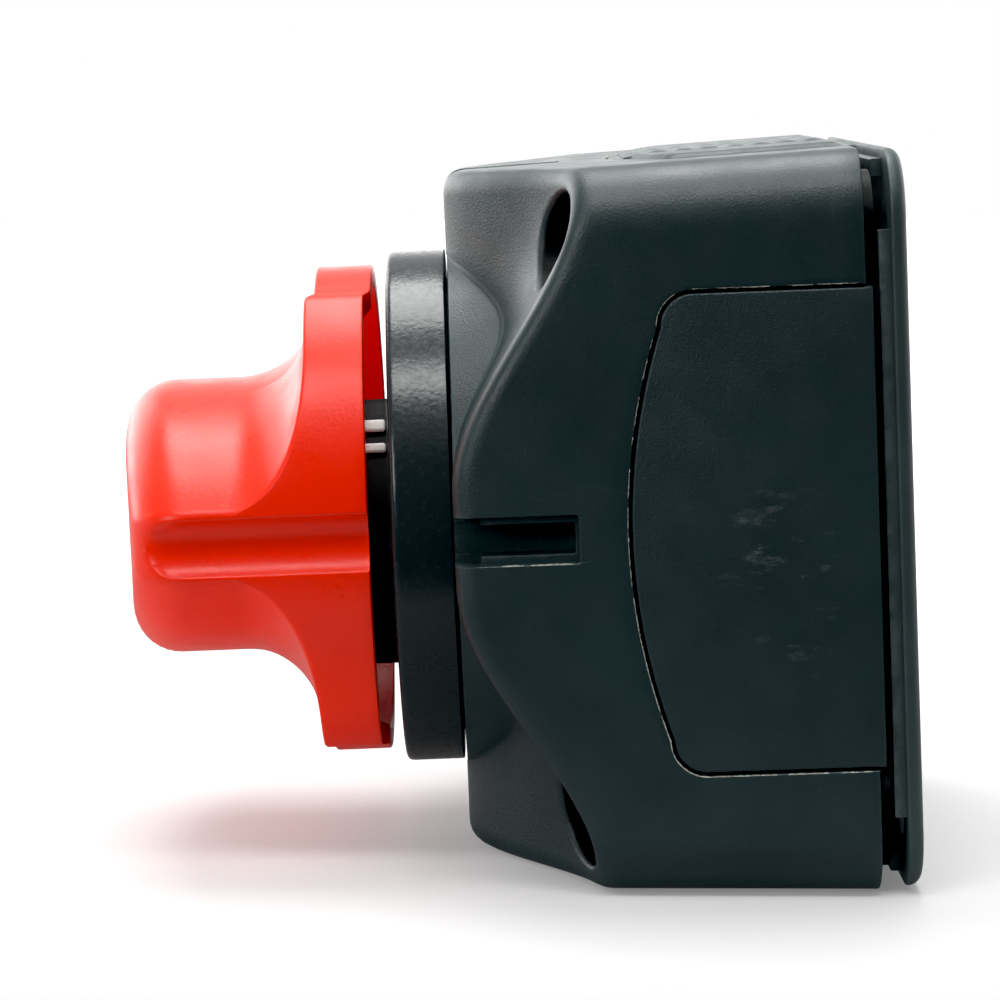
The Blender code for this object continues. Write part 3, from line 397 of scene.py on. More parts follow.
def moulded_plastic(name, colour, roughness, grain=1.0, dust=None, shade_recesses=False):
    """Grained moulded plastic with uneven gloss, worn edges, scuffs and a little dust, and optionally painted
    shade in the screw recesses and behind the rear edge.
    """
    graph = Graph(bpy.data.materials.new(name))
    coarse = graph.noise(90.0, 3.0)
    fine = graph.noise(5200.0, 2.0, 0.6)
    speck = graph.noise(2600.0, 1.0)
    base = graph.blend(graph.ramp(coarse, 0.3, 0.7), colour, tuple(c * 1.25 for c in colour[:3]) + (1.0,))
    light = graph.ramp(speck, 0.66, 0.80, 0.0, 0.05)
    base = graph.blend(light, base, rgba(120, 132, 134))
    geometry = graph.node("ShaderNodeNewGeometry")
    worn = graph.math("MULTIPLY", graph.ramp(geometry.outputs["Pointiness"], 0.53, 0.62),
                      graph.ramp(graph.noise(700.0, 3.0), 0.40, 0.62, 0.1, 0.55))
    base = graph.blend(worn, base, rgba(96, 106, 108))
    scuff = graph.noise(160.0, 8.0, 0.75, graph.stretched((1.0, 0.35, 1.0), (0.6, 0.0, 0.3)))
    scuff = graph.ramp(scuff, 0.66, 0.76, 0.0, 0.07)
    if dust:
        cloud = graph.noise(420.0, 6.0, 0.75, graph.stretched((1.0, 0.6, 1.6), (0.5, 0.0, 0.0)))
        cloud = graph.ramp(cloud, 0.56, 0.72, 0.0, 0.42)
        for centre, radius in dust:
            patch = graph.math("MULTIPLY", graph.ball(centre, radius), cloud)
            scuff = graph.math("MAXIMUM", scuff, patch)
    base = graph.blend(scuff, base, rgba(138, 146, 146))
    level = 0.5
    # painted shade: near-black base and weak specular in the screw recesses and behind the housing's rear
    # edge
    if shade_recesses:
        recess_shade = painted_recess_shade(graph)
        base = graph.blend(recess_shade, base, rgba(5, 6, 7))
        level = graph.ramp(recess_shade, 0.0, 1.0, 0.5, 0.10)
    graph.set("Base Color", base)
    graph.set("Specular IOR Level", level)
    rough = graph.ramp(graph.noise(240.0, 4.0), 0.3, 0.7, roughness - 0.05, roughness + 0.07)
    rough = graph.math("ADD", rough, graph.math("MULTIPLY", scuff, 0.35))
    graph.set("Roughness", rough)
    pits = graph.bump(fine, 0.5 * grain, 0.00009)
    graph.set("Normal", graph.bump(coarse, 0.12, 0.0004, pits))
    return graph.owner


def glossy_black(name):
    graph = Graph(bpy.data.materials.new(name))
    coarse = graph.noise(120.0, 3.0)
    base = graph.blend(coarse, rgba(22, 30, 32), rgba(32, 41, 43))
    # painted shade: forward of the bezel's front face, on the neck and the lug in the gap under the knob, the
    # base is near black and rougher
    inside = graph.ramp(graph.axis("Y"), -(BEZEL_FRONT + 0.05) * MM, -(BEZEL_FRONT + 0.35) * MM)
    base = graph.blend(inside, base, rgba(5, 6, 7))
    lines = graph.noise(900.0, 4.0, 0.7, graph.stretched((1.0, 0.06, 1.0)))
    marks = graph.ramp(lines, 0.66, 0.76, 0.0, 0.08)
    graph.set("Base Color", graph.blend(marks, base, rgba(110, 118, 120)))
    rough = graph.ramp(graph.noise(1500.0, 4.0), 0.3, 0.7, 0.18, 0.29)
    rough = graph.math("ADD", rough, graph.math("MULTIPLY", marks, 0.8))
    graph.set("Roughness", graph.math("ADD", rough, graph.math("MULTIPLY", inside, 0.4)))
    peel = graph.bump(graph.noise(1900.0, 2.0), 0.22, 0.00012)
    graph.set("Normal", graph.bump(graph.noise(60.0, 2.0), 0.15, 0.0008, peel))
    return graph.owner


def knob_plastic(name):
    graph = Graph(bpy.data.materials.new(name))
    coarse = graph.noise(70.0, 3.0)
    base = graph.blend(coarse, rgba(240, 34, 2), rgba(250, 46, 6))
    speck = graph.ramp(graph.noise(2400.0, 2.0), 0.66, 0.76, 0.0, 0.03)
    base = graph.blend(speck, base, rgba(250, 120, 96))
    scratch = graph.math("MAXIMUM",
                         graph.noise(700.0, 3.0, 0.6, graph.stretched((1.0, 0.05, 0.4), (0.9, 0.0, 0.0))),
                         graph.noise(820.0, 3.0, 0.6, graph.stretched((0.3, 0.06, 1.0), (-0.5, 0.0, 0.4))))
    scratch = graph.ramp(scratch, 0.80, 0.86, 0.0, 0.22)
    base = graph.blend(scratch, base, rgba(255, 160, 140))
    geometry = graph.node("ShaderNodeNewGeometry")
    worn = graph.math("MULTIPLY", graph.ramp(geometry.outputs["Pointiness"], 0.54, 0.62),
                      graph.ramp(graph.noise(500.0, 3.0), 0.42, 0.66, 0.0, 0.4))
    base = graph.blend(worn, base, rgba(250, 96, 64))
    # painted bounce light: for diffuse rays the red is mixed 30% towards a dull red, so the knob throws less
    # red light onto the floor
    path = graph.node("ShaderNodeLightPath")
    base = graph.blend(graph.math("MULTIPLY", path.outputs["Is Diffuse Ray"], 0.3), base, rgba(150, 60, 50))
    graph.set("Base Color", base)
    rough = graph.ramp(graph.noise(300.0, 4.0), 0.3, 0.7, 0.27, 0.36)
    rough = graph.math("ADD", rough, graph.math("MULTIPLY", scratch, 0.12))
    graph.set("Roughness", rough)
    # painted light: the inner wall of the cup glows red, faintly low down and more towards the top
    reach = graph.math("SQRT", graph.math("ADD", graph.math("POWER", graph.axis("X"), 2.0),
                                          graph.math("POWER", graph.axis("Z"), 2.0)))
    inside = graph.math("MULTIPLY", graph.ramp(reach, (CUP_RADIUS + 0.10) * MM, (CUP_RADIUS + 0.02) * MM),
                        graph.ramp(graph.axis("Y"), -(CUP_FRONT + 0.3) * MM, -(CUP_FRONT + 0.1) * MM))
    height = graph.ramp(graph.axis("Z"), -0.010, 0.020, 0.05, 0.5)
    graph.set("Emission Strength", graph.math("MULTIPLY", inside, height))
    graph.set("Emission Color", rgba(225, 18, 2))
    graph.set("Specular IOR Level", 0.30)
    graph.set("Subsurface Weight", 0.04)
    graph.set("Subsurface Radius", (1.0, 0.12, 0.05))
    graph.set("Subsurface Scale", 0.0008)
    peel = graph.bump(graph.noise(2600.0, 3.0, 0.6), 0.25, 0.0001)
    graph.set("Normal", graph.bump(coarse, 0.08, 0.0004, peel))
    return graph.owner


def flash_plastic(name):
    """Thin torn moulding flash: pale, dry and uneven."""
    graph = Graph(bpy.data.materials.new(name))
    patch = graph.ramp(graph.noise(900.0, 5.0, 0.7), 0.35, 0.6)
    graph.set("Base Color", graph.blend(patch, rgba(120, 122, 116), rgba(196, 194, 182)))
    graph.set("Roughness", 0.75)
    graph.set("Normal", graph.bump(graph.noise(3000.0, 3.0), 0.5, 0.0001))
    return graph.owner


def plated_metal(name, colour, tarnish, roughness, brushed=(1.0, 1.0, 1.0)):
    graph = Graph(bpy.data.materials.new(name))
    cloud = graph.ramp(graph.noise(160.0, 5.0, 0.6), 0.4, 0.7)
    graph.set("Base Color", graph.blend(cloud, colour, tarnish))
    graph.set("Metallic", 1.0)
    lines = graph.noise(1400.0, 3.0, 0.6, graph.stretched(brushed))
    graph.set("Roughness", graph.ramp(lines, 0.3, 0.7, roughness, roughness + 0.18))
    graph.set("Normal", graph.bump(lines, 0.2, 0.00006))
    return graph.owner


def plain_moulding(name, colour, lighter, roughness):
    graph = Graph(bpy.data.materials.new(name))
    graph.set("Base Color", graph.blend(graph.noise(140.0, 4.0), colour, lighter))
    graph.set("Roughness", graph.ramp(graph.noise(500.0, 3.0), 0.3, 0.7, roughness - 0.05, roughness + 0.1))
    graph.set("Normal", graph.bump(graph.noise(3500.0, 2.0), 0.3, 0.0001))
    return graph.owner


DUST = [((0.034, -0.0125, -0.0020), 0.0075), ((0.034, -0.0105, -0.0085), 0.0055)]
BLACK = rgba(31, 46, 48)
WHITE = (1.0, 1.0, 1.0, 1.0)
housing_plastic = moulded_plastic("moulded_black", BLACK, 0.38, shade_recesses=True)
panel_plastic = moulded_plastic("moulded_black_panel", BLACK, 0.40, 1.15, DUST)
cover_plastic = moulded_plastic("moulded_black_cover", rgba(48, 61, 62), 0.44)
gloss = glossy_black("gloss_black")
red = knob_plastic("knob_red")
flash = flash_plastic("moulding_flash")
pale = plain_moulding("pale_mark", rgba(246, 245, 240), rgba(254, 253, 250), 0.5)
insulator = plain_moulding("insulator", rgba(48, 49, 52), rgba(66, 67, 70), 0.55)
rubber = plain_moulding("rubber", rgba(24, 24, 25), rgba(34, 34, 35), 0.8)
zinc = plated_metal("zinc_steel", rgba(196, 198, 202), rgba(150, 150, 148), 0.22, (1.0, 0.1, 1.0))
tin = plated_metal("tinned_brass", rgba(214, 208, 186), rgba(186, 172, 130), 0.24, (1.0, 0.08, 1.0))
copper = plated_metal("copper", rgba(214, 140, 108), rgba(168, 98, 72), 0.26, (0.1, 1.0, 1.0))
silver = plated_metal("silver", rgba(232, 231, 228), rgba(196, 192, 182), 0.2)


# ---- housing ------------------------------------------------------------------------------------

def square_outline(half, corner, flat_steps=64, corner_steps=10):
    """A rounded square, listed corner by corner."""
    points = []
    inner = half - corner
    for quarter in range(4):
        turn = quarter * pi / 2
        side = [(half, -inner + 2 * inner * step / flat_steps) for step in range(flat_steps)]
        for step in range(corner_steps + 1):
            angle = pi / 2 * step / (corner_steps + 1)
            side.append((inner + corner * cos(angle), inner + corner * sin(angle)))
        for x, z in side:
            turned_x = x * cos(turn) - z * sin(turn)
            points.append((turned_x, x * sin(turn) + z * cos(turn)))
    return points


def half_width(forward):
    return REAR_HALF - (forward - HOUSING_REAR) * tan(DRAFT)


def scoop_share(distance):
    return smoothstep((abs(distance) - SCOOP_START) / SCOOP_WIDTH)


def front_surface(x, z):
    """Forward position of the housing's front, with its four scooped corners."""
    shares = (scoop_share(x), scoop_share(z))
    if min(shares) < 1e-4:
        return LOBE_FRONT
    total = shares[0] ** -SCOOP_BLEND + shares[1] ** -SCOOP_BLEND - 1.0
    return LOBE_FRONT - SCOOP_DEPTH * total ** (-1.0 / SCOOP_BLEND)


def mix(start, end, share):
    return tuple(a + (b - a) * share for a, b in zip(start, end))


def rounded(start, corner, end, share):
    """A point on the curve that leaves start towards corner and arrives at end."""
    return mix(mix(start, corner, share), mix(corner, end, share), share)


def boss_base(direction):
    """Radius and forward position where the boss meets the scooped front."""
    radius = BOSS_RADIUS
    for _ in range(6):
        level = front_surface(radius * direction[0], radius * direction[1])
        radius = BOSS_RADIUS + BOSS_FLARE * (BOSS_FRONT - level)
    return radius, level


def outer_column(index):
    """One line of points from the rear edge, along a side and over the front, to the bore."""
    def on_side(forward, inset=0.0):
        x, z = square_outline(half_width(forward) - inset, CORNER - inset)[index]
        return x, forward, z

    edge = on_side(LOBE_FRONT)
    for _ in range(3):
        edge = on_side(front_surface(edge[0], edge[2]))
    length = hypot(edge[0], edge[2])
    direction = (edge[0] / length, edge[2] / length)

    def on_front(radius):
        x, z = radius * direction[0], radius * direction[1]
        return x, front_surface(x, z), z

    side_end = on_side(edge[1] - EDGE)
    front_start = on_front(length - EDGE)
    column = [on_side(HOUSING_REAR, 0.22), on_side(HOUSING_REAR + 0.06, 0.07), on_side(HOUSING_REAR + 0.25)]
    start = HOUSING_REAR + 0.25
    column += [on_side(start + (side_end[1] - start) * step / 12) for step in range(1, 13)]
    column += [rounded(side_end, edge, front_start, share) for share in (0.14, 0.28, 0.42, 0.56, 0.70, 0.85)]
    base, level = boss_base(direction)
    fillet = min(BOSS_FILLET, 0.4 * (BOSS_FRONT - level))
    front_end = base + fillet
    for step in range(21):
        column.append(on_front(length - EDGE + (front_end - length + EDGE) * step / 20))
    wall_start = (base * direction[0], level + fillet, base * direction[1])
    foot = (base * direction[0], level, base * direction[1])
    column += [rounded(column[-1], foot, wall_start, share) for share in (0.25, 0.5, 0.75)]
    column.append(wall_start)
    top = min(0.35, 0.3 * (BOSS_FRONT - wall_start[1]))
    for radius, drop in ((BOSS_RADIUS, top), (BOSS_RADIUS - 0.1 * top, 0.3 * top), (BOSS_RADIUS - top, 0.0),
                         (FRONT_BORE, 0.0)):
        column.append((radius * direction[0], BOSS_FRONT - drop, radius * direction[1]))
    return column


def inner_column(index):
    """The matching line inside, from the bore back to the rear edge."""
    x, z = square_outline(half_width(LOBE_FRONT) - WALL, CORNER - WALL)[index]
    length = hypot(x, z)
    direction = (x / length, z / length)
    column = [(radius * direction[0], CAVITY_FRONT, radius * direction[1])
              for radius in (FRONT_BORE, CAVITY_RADIUS)]
    for step in range(8):
        radius = CAVITY_RADIUS + GAP + (length - CAVITY_RADIUS - GAP) * step / 7
        across, up = radius * direction[0], radius * direction[1]
        column.append((across, front_surface(across, up) - FRONT_WALL, up))
    last = column[-1][1]
    for step in range(1, 6):
        forward = last + (HOUSING_REAR - last) * step / 5
        x, z = square_outline(half_width(forward) - WALL, CORNER - WALL)[index]
        column.append((x, forward, z))
    return column


def panel_outline(margin=0.0, rear=PANEL_REAR):
    """Outline of a side panel in its face: straight sides, a bowed front and rounded corners."""
    half = PANEL_HALF + margin
    front = PANEL_FRONT - HOUSING_REAR + margin
    shoulder = front - PANEL_BOW
    corner = PANEL_CORNER + margin
    outline = []
    for step in range(12):
        angle = pi / 2 * step / 12
        outline.append((half - corner * (1 - cos(angle)), shoulder - corner * (1 - sin(angle))))
    top_half = half - corner
    for step in range(49):
        across = top_half * (1 - step / 24)
        outline.append((across, shoulder + PANEL_BOW * (1 - (across / top_half) ** 2)))
    mirrored = [(-across, forward) for across, forward in reversed(outline[:12])]
    low = rear - HOUSING_REAR
    flank = [(half, low + (outline[0][1] - low) * step / 14) for step in range(14)]
    other = [(-a, b) for a, b in reversed(flank)]
    base = [(-half + 2 * half * step / 16, low) for step in range(1, 16)]
    return flank + outline + mirrored + other + base


def add_post(mesh, centre, radius, rear):
    """A round post that ends inside the scooped front wall."""
    def inside_wall(x, z):
        return front_surface(x, z) - FRONT_WALL / 2

    add_loft(mesh, [circle(centre, 0.0, rear, 1), circle(centre, radius, rear, 48),
                    circle(centre, radius, inside_wall, 48), circle(centre, 0.0, inside_wall, 1)])


def flared_prism(mesh, levels, mapping):
    """A prism whose outline changes with height: (outline, height) pairs in one mapping."""
    add_loft(mesh, [[mapping(a, b, height) for a, b in outline] for outline, height in levels])


def box_outline(half, low, high, grow=0.0):
    """A rectangle with small round corners, a across and b forward."""
    points = []
    size = 0.25
    spots = ((half + grow, low - grow), (half + grow, high), (-half - grow, high), (-half - grow, low - grow))
    for index, (a, b) in enumerate(spots):
        turn = pi / 2 * (index - 1)
        centre = (a - copysign(size, a), b + (size if index in (0, 3) else -size))
        for step in range(4):
            angle = turn + pi / 2 * step / 3
            points.append((centre[0] + size * cos(angle), centre[1] + size * sin(angle)))
    return points


def recess_cutter(mesh, centre):
    """The deep round recess for a screw head, with a softened mouth, and the hole behind it."""
    def ring(radius, level=None, lift=0.0):
        if level is None:
            return circle(centre, radius, lambda x, z: front_surface(x, z) + lift, 72)
        return circle(centre, radius, level, 72)

    rings = [circle(centre, 0.0, 0.0, 1), ring(MOUNT_HOLE, 0.0), ring(MOUNT_HOLE, MOUNT_HEAD_FLOOR - 0.3)]
    rings += [ring(MOUNT_HOLE + 0.3, MOUNT_HEAD_FLOOR), ring(MOUNT_HEAD - 0.2, MOUNT_HEAD_FLOOR)]
    rings += [ring(MOUNT_HEAD, MOUNT_HEAD_FLOOR + 0.2), ring(MOUNT_HEAD, None, -0.75)]
    for grow, lift in ((0.05, -0.42), (0.17, -0.18), (0.36, -0.04), (0.62, 0.03), (0.7, 1.0)):
        rings.append(ring(MOUNT_HEAD + grow, None, lift))
    add_loft(mesh, rings + [ring(MOUNT_HEAD + 0.7, 46.0), circle(centre, 0.0, 46.0, 1)])


def build_housing():
    count = len(square_outline(REAR_HALF, CORNER))
    columns = [outer_column(index) + inner_column(index) for index in range(count)]
    rings = [[place(*column[level]) for column in columns] for level in range(len(columns[0]))]
    mesh = bmesh.new()
    add_loft(mesh, rings, closed=True)
    housing = new_object("housing_shell", mesh)

    posts = bmesh.new()
    for centre in corners(MOUNT_X, MOUNT_Z):
        add_post(posts, centre, POST_RADIUS, POST_REAR)
    for centre in corners(SCREW_X, SCREW_Z):
        add_post(posts, centre, COLUMN_RADIUS, BLOCK_FRONT + GAP)
    pads, holes, pilots = bmesh.new(), bmesh.new(), bmesh.new()
    windows, ledges, channels, pockets = bmesh.new(), bmesh.new(), bmesh.new(), bmesh.new()
    for centre in corners(MOUNT_X, MOUNT_Z):
        recess_cutter(holes, centre)
    for centre in corners(SCREW_X, SCREW_Z):
        add_turned(pilots, [(0.0, 13.0), (1.05, 13.0), (1.05, 28.0), (0.0, 28.0)], 24, centre)
    end = SLOT_END - HOUSING_REAR
    ahead = bmesh.new()
    outline = square_outline(45.0, 1.0, 4, 3)
    flared_prism(ahead, [(outline, LOBE_FRONT + 0.03), (outline, 70.0)], axial)
    for side in range(4):
        face = side_frame(side)
        outline = box_outline(4.2, 24.9, 35.0)
        flared_prism(pads, [(outline, -6.8), (outline, -1.5)], face)
        levels = ((0.0, -WALL - 0.3), (0.0, -0.22), (0.03, -0.10), (0.10, -0.02), (0.20, 0.02), (0.20, 2.0))
        flared_prism(windows, [(panel_outline(GAP + grow, -2.0), height) for grow, height in levels], face)
        levels = ((0.0, -SLOT_LEDGE), (0.0, -0.16), (0.04, -0.06), (0.14, 0.02), (0.14, 2.0))
        flared_prism(ledges, [(box_outline(SLOT_HALF, end, 45.0, grow), height)
                              for grow, height in levels], face)
        levels = ((0.0, -SLOT_DEPTH), (0.0, -1.22), (0.10, -SLOT_LEDGE + 0.02), (0.10, 3.0))
        flared_prism(channels, [(box_outline(SLOT_INNER_HALF, end + 0.35, 46.0, grow), height)
                                for grow, height in levels], face)
        outline = box_outline(SLOT_HALF + 0.06, SLOT_POCKET - HOUSING_REAR, 47.0)
        flared_prism(pockets, [(outline, -SLOT_DEPTH + 0.2), (outline, 4.0)], face)
    carve(housing, [("UNION", posts), ("UNION", pads), ("DIFFERENCE", holes), ("DIFFERENCE", pilots),
                    ("DIFFERENCE", windows), ("DIFFERENCE", ledges), ("DIFFERENCE", channels),
                    ("DIFFERENCE", pockets), ("DIFFERENCE", ahead)], 32.0)
    drop_strays(housing, REAR_HALF + 0.02)
    finish_piece(housing, housing_plastic, "base", "moulded_black", "housing")


def shrink(outline, amount):
    """Move a closed outline inwards by a small amount, along its own normals."""
    count = len(outline)
    result = []
    for index in range(count):
        before = Vector(outline[index - 1])
        after = Vector(outline[(index + 1) % count])
        along = (after - before).normalized()
        here = Vector(outline[index])
        result.append((here.x - along.y * amount, here.y + along.x * amount))
    return result


def add_field(panel, face):
    """The raised field of the top panel, with soft ribs across it."""
    field, ribs = bmesh.new(), bmesh.new()
    foot = panel_outline(-FIELD_MARGIN, PANEL_REAR + FIELD_MARGIN)
    levels = [(foot, -FIELD_HEIGHT), (foot, 0.02)]
    for share in (0.2, 0.45, 0.7, 0.9, 1.0):
        inset = FIELD_MARGIN + 0.9 * share
        level = FIELD_HEIGHT * sin(share * pi / 2)
        levels.append((panel_outline(-inset, PANEL_REAR + inset), level))
    flared_prism(field, levels, face)
    for step in range(8):
        low, high = 1.6 + RIB_PITCH * step, 2.9 + RIB_PITCH * step
        foot = FIELD_HEIGHT if step < 7 else 0.1
        outline = box_outline(9.0, low - 0.3, high + 0.3)
        levels = [(outline, -0.6), (outline, foot), (box_outline(8.8, low - 0.1, high + 0.1), foot + 0.07),
                  (box_outline(8.5, low + 0.25, high - 0.25), foot + 0.13)]
        flared_prism(ribs, levels, face)
    carve(panel, [("UNION", field), ("UNION", ribs)], 32.0)


def build_side_panels():
    for side, name in enumerate(SIDES):
        face = side_frame(side)
        outline = panel_outline()
        levels = [(outline, -PANEL_THICK), (outline, -0.22)]
        for inset, height in ((0.05, -0.09), (0.13, -0.02), (0.24, 0.0)):
            levels.append((shrink(outline, inset), height))
        mesh = bmesh.new()
        flared_prism(mesh, levels, face)
        panel = new_object(f"panel_{name}", mesh)
        if name == "top":
            add_field(panel, face)
        finish_piece(panel, panel_plastic, "base", "moulded_black", f"side_panel_{name}")


def build_panel_seals():
    """A thin sealing strip behind each panel's edge, inside the housing."""
    for side, name in enumerate(SIDES):
        face = side_frame(side)
        outer, inner = panel_outline(1.0, PANEL_REAR), panel_outline(-1.2, PANEL_REAR + 1.2)
        top, low = -WALL - 0.05, -WALL - 0.45
        rings = [[face(a, b, level) for a, b in outline]
                 for outline, level in ((outer, low), (outer, top), (inner, top), (inner, low))]
        mesh = bmesh.new()
        add_loft(mesh, rings, closed=True)
        seal = new_object(f"panel_seal_{name}", mesh)
        finish_piece(seal, rubber, "base", "rubber")


def lip(inset):
    """Outline of one of the cover's lips: length, then distance from the axis."""
    half = LIP_HALF_LENGTH - inset
    low, high = LIP_OUTER - LIP_THICK + inset, LIP_OUTER - inset
    return [(-half, low), (half, low), (half, high), (-half, high)]


def build_rear_cover():
    mesh = bmesh.new()
    steps = [(COVER_THICK, 0.25), (COVER_THICK - 0.07, 0.07), (COVER_THICK - 0.25, 0.0), (1.2, 0.0)]
    for step in range(1, 9):
        angle = pi / 2 * step / 8
        steps.append((1.2 * (1 - sin(angle)), 1.2 * (1 - cos(angle))))
    rings = []
    for forward, inset in steps:
        outline = square_outline(COVER_HALF - inset, CORNER - inset, 24, 14)
        rings.append([place(x, forward, z) for x, z in outline])
    add_loft(mesh, rings)
    cover = new_object("cover_plate", mesh)
    lips = bmesh.new()
    for side in range(4):
        turn = Matrix.Rotation(side * pi / 2, 3, "Y")

        def across(a, b, c, turn=turn):
            return turn @ place(b, c, a)

        flared_prism(lips, [(lip(0.0), COVER_THICK - 0.5), (lip(0.0), LIP_FRONT - 0.2),
                            (lip(0.06), LIP_FRONT - 0.06), (lip(0.2), LIP_FRONT)], across)
    holes = bmesh.new()
    for centre in corners(MOUNT_X, MOUNT_Z):
        profile = [(0.0, -1.0), (MOUNT_HOLE + 1.3, -1.0), (MOUNT_HOLE, 0.3), (MOUNT_HOLE, 2.0), (0.0, 2.0)]
        add_turned(holes, profile, 48, centre)
    carve(cover, [("UNION", lips), ("DIFFERENCE", holes)], 32.0)
    finish_piece(cover, cover_plastic, "base", "moulded_black", "rear_cover")


# ---- moulding flash -----------------------------------------------------------------------------

FLANKS_AND_FRONT = 100  # of a panel's outline, the points up to its rear edge

def flash_line(name, points, outward, inward, width, height, seed, keep=0.55):
    """A torn ridge of moulding flash along a line: a thin strip of uneven width with gaps."""
    random.seed(seed)
    mesh = bmesh.new()
    run = []
    offset = Vector((seed * 7.3, seed * 1.9, seed * 3.1))

    def close(run):
        if len(run) < 3:
            return
        rings = []
        last = len(run) - 1
        for step, (point, out, side, amount) in enumerate(run):
            taper = min(1.0, step * 0.7, (last - step) * 0.7) * amount + 0.02
            foot = point - out * (0.06 * MM)
            rings.append([foot - side * (0.05 * MM), foot + side * (width * taper * MM),
                          point + side * (width * taper * 0.6 * MM) + out * (height * taper * MM),
                          point - side * (0.02 * MM) + out * (height * taper * 0.6 * MM)])
        add_loft(mesh, rings)

    for index, point in enumerate(points):
        spot = point * 1000.0
        level = noise.noise(spot * 0.55 + offset) + 0.35 * noise.noise(spot * 2.3 + offset)
        amount = smoothstep((level + keep - 0.5) / 0.35) * (0.7 + 0.5 * random.random())
        if amount > 0.08:
            run.append((point, outward[index], inward[index], amount))
        else:
            close(run)
            run = []
    close(run)
    if not mesh.verts:
        mesh.free()
        return
    item = new_object(name, mesh, 60.0)
    finish_piece(item, flash, "base", "moulded_black")


def dense(points, pitch=0.16):
    """Even samples along an open line of (a, b) points."""
    result = []
    for (a0, b0), (a1, b1) in zip(points, points[1:]):
        count = max(1, round(hypot(a1 - a0, b1 - b0) / pitch))
        result += [(a0 + (a1 - a0) * step / count, b0 + (b1 - b0) * step / count) for step in range(count)]
    result.append(points[-1])
    return result


def build_flash():
    for side, name in enumerate(SIDES):
        face = side_frame(side)
        out = (face(0.0, 0.0, 1.0) - face(0.0, 0.0, 0.0)).normalized()
        line = dense(panel_outline(GAP + 0.17)[1:FLANKS_AND_FRONT])
        points, sides = [], []
        for index, (a, b) in enumerate(line):
            before = line[max(index - 1, 0)]
            after = line[min(index + 1, len(line) - 1)]
            along = (face(*after, 0.0) - face(*before, 0.0)).normalized()
            points.append(face(a, b, -0.015))
            sides.append(-along.cross(out).normalized())
        flash_line(f"flash_window_{name}", points, [out] * len(points), sides, 0.13, 0.010, 3 + side, 0.92)
        beside = -SLOT_HALF - 0.12
        edge = dense([(beside, SLOT_END - HOUSING_REAR), (beside, 38.0 - HOUSING_REAR)])
        points = [face(a, b, -0.01) for a, b in edge]
        across = (face(1.0, 0.0, 0.0) - face(0.0, 0.0, 0.0)).normalized()
        flash_line(f"flash_slot_{name}", points, [out] * len(points), [across] * len(points), 0.13, 0.01,
                   11 + side, 0.75)


# ---- bezel --------------------------------------------------------------------------------------

def build_bezel():
    rear = BOSS_FRONT + GAP
    profile = rounded_profile([
        (BEZEL_RADIUS, rear, 0.15), (BEZEL_RADIUS, BEZEL_FRONT, 0.75), (24.2, BEZEL_FRONT, 0.0),
        (24.0, BEZEL_FRONT - 0.08, 0.0), (NECK_RADIUS, BEZEL_FRONT - 0.08, 0.3),
        (NECK_RADIUS, NECK_FRONT, 0.4), (NECK_BORE, NECK_FRONT, 0.2), (NECK_BORE, 46.4, 0.0),
        (10.2, 46.4, 0.1), (10.2, 43.8, 0.1), (NECK_BORE, 43.8, 0.0), (NECK_BORE, CAVITY_FRONT, 0.2),
        (SPIGOT_RADIUS, CAVITY_FRONT, 0.3), (SPIGOT_RADIUS, rear, 0.0), (20.3, rear, 0.0),
        (20.3, rear + 1.2, 0.0), (22.7, rear + 1.2, 0.0), (22.7, rear, 0.0)], 6)
    mesh = bmesh.new()
    add_turned(mesh, profile, 224)
    bezel = new_object("bezel_ring", mesh)
    pocket = bmesh.new()
    add_turned(pocket, [(0.0, 37.0), (2.2, 37.0), (2.2, 44.5), (0.0, 44.5)], 48, (14.0, 0.0))
    lug = bmesh.new()
    bearings = [LUG_LOW + (LUG_HIGH - LUG_LOW) * step / 72 for step in range(73)]
    outline = [(LUG_RADIUS * cos(angle), LUG_RADIUS * sin(angle)) for angle in bearings]
    inner = LUG_RADIUS - LUG_THICK
    outline += [(inner * cos(angle), inner * sin(angle)) for angle in reversed(bearings)]
    flared_prism(lug, [(outline, BEZEL_FRONT - 1.0), (shrink(outline, 0.12), LUG_FRONT)], axial)
    carve(bezel, [("DIFFERENCE", pocket), ("UNION", lug)])
    finish_piece(bezel, gloss, "base", "gloss_black", "front_bezel")


def build_marks():
    for name, angle, width in (("index_mark_upper", 27.2, 1.3), ("index_mark_lower", 21.3, 1.0)):
        mesh = bmesh.new()
        inner = LUG_RADIUS + 0.05
        size = (0.6, 2.1, width * 0.9)
        bmesh.ops.create_cube(mesh, size=1.0)
        bmesh.ops.scale(mesh, vec=Vector(size) * MM, verts=mesh.verts)
        bmesh.ops.translate(mesh, vec=place(inner + 0.3, BEZEL_FRONT + GAP + 1.05, 0.0), verts=mesh.verts)
        bmesh.ops.bevel(mesh, geom=mesh.edges, offset=0.27 * MM, segments=5, affect="EDGES", profile=0.5)
        turn = Matrix.Rotation(-radians(angle), 4, "Y")
        bmesh.ops.transform(mesh, matrix=turn, verts=mesh.verts)
        mark = new_object(f"mark_{name.rsplit('_', 1)[1]}", mesh)
        finish_piece(mark, pale, "base", "pale_mark", name)


# ---- knob ---------------------------------------------------------------------------------------

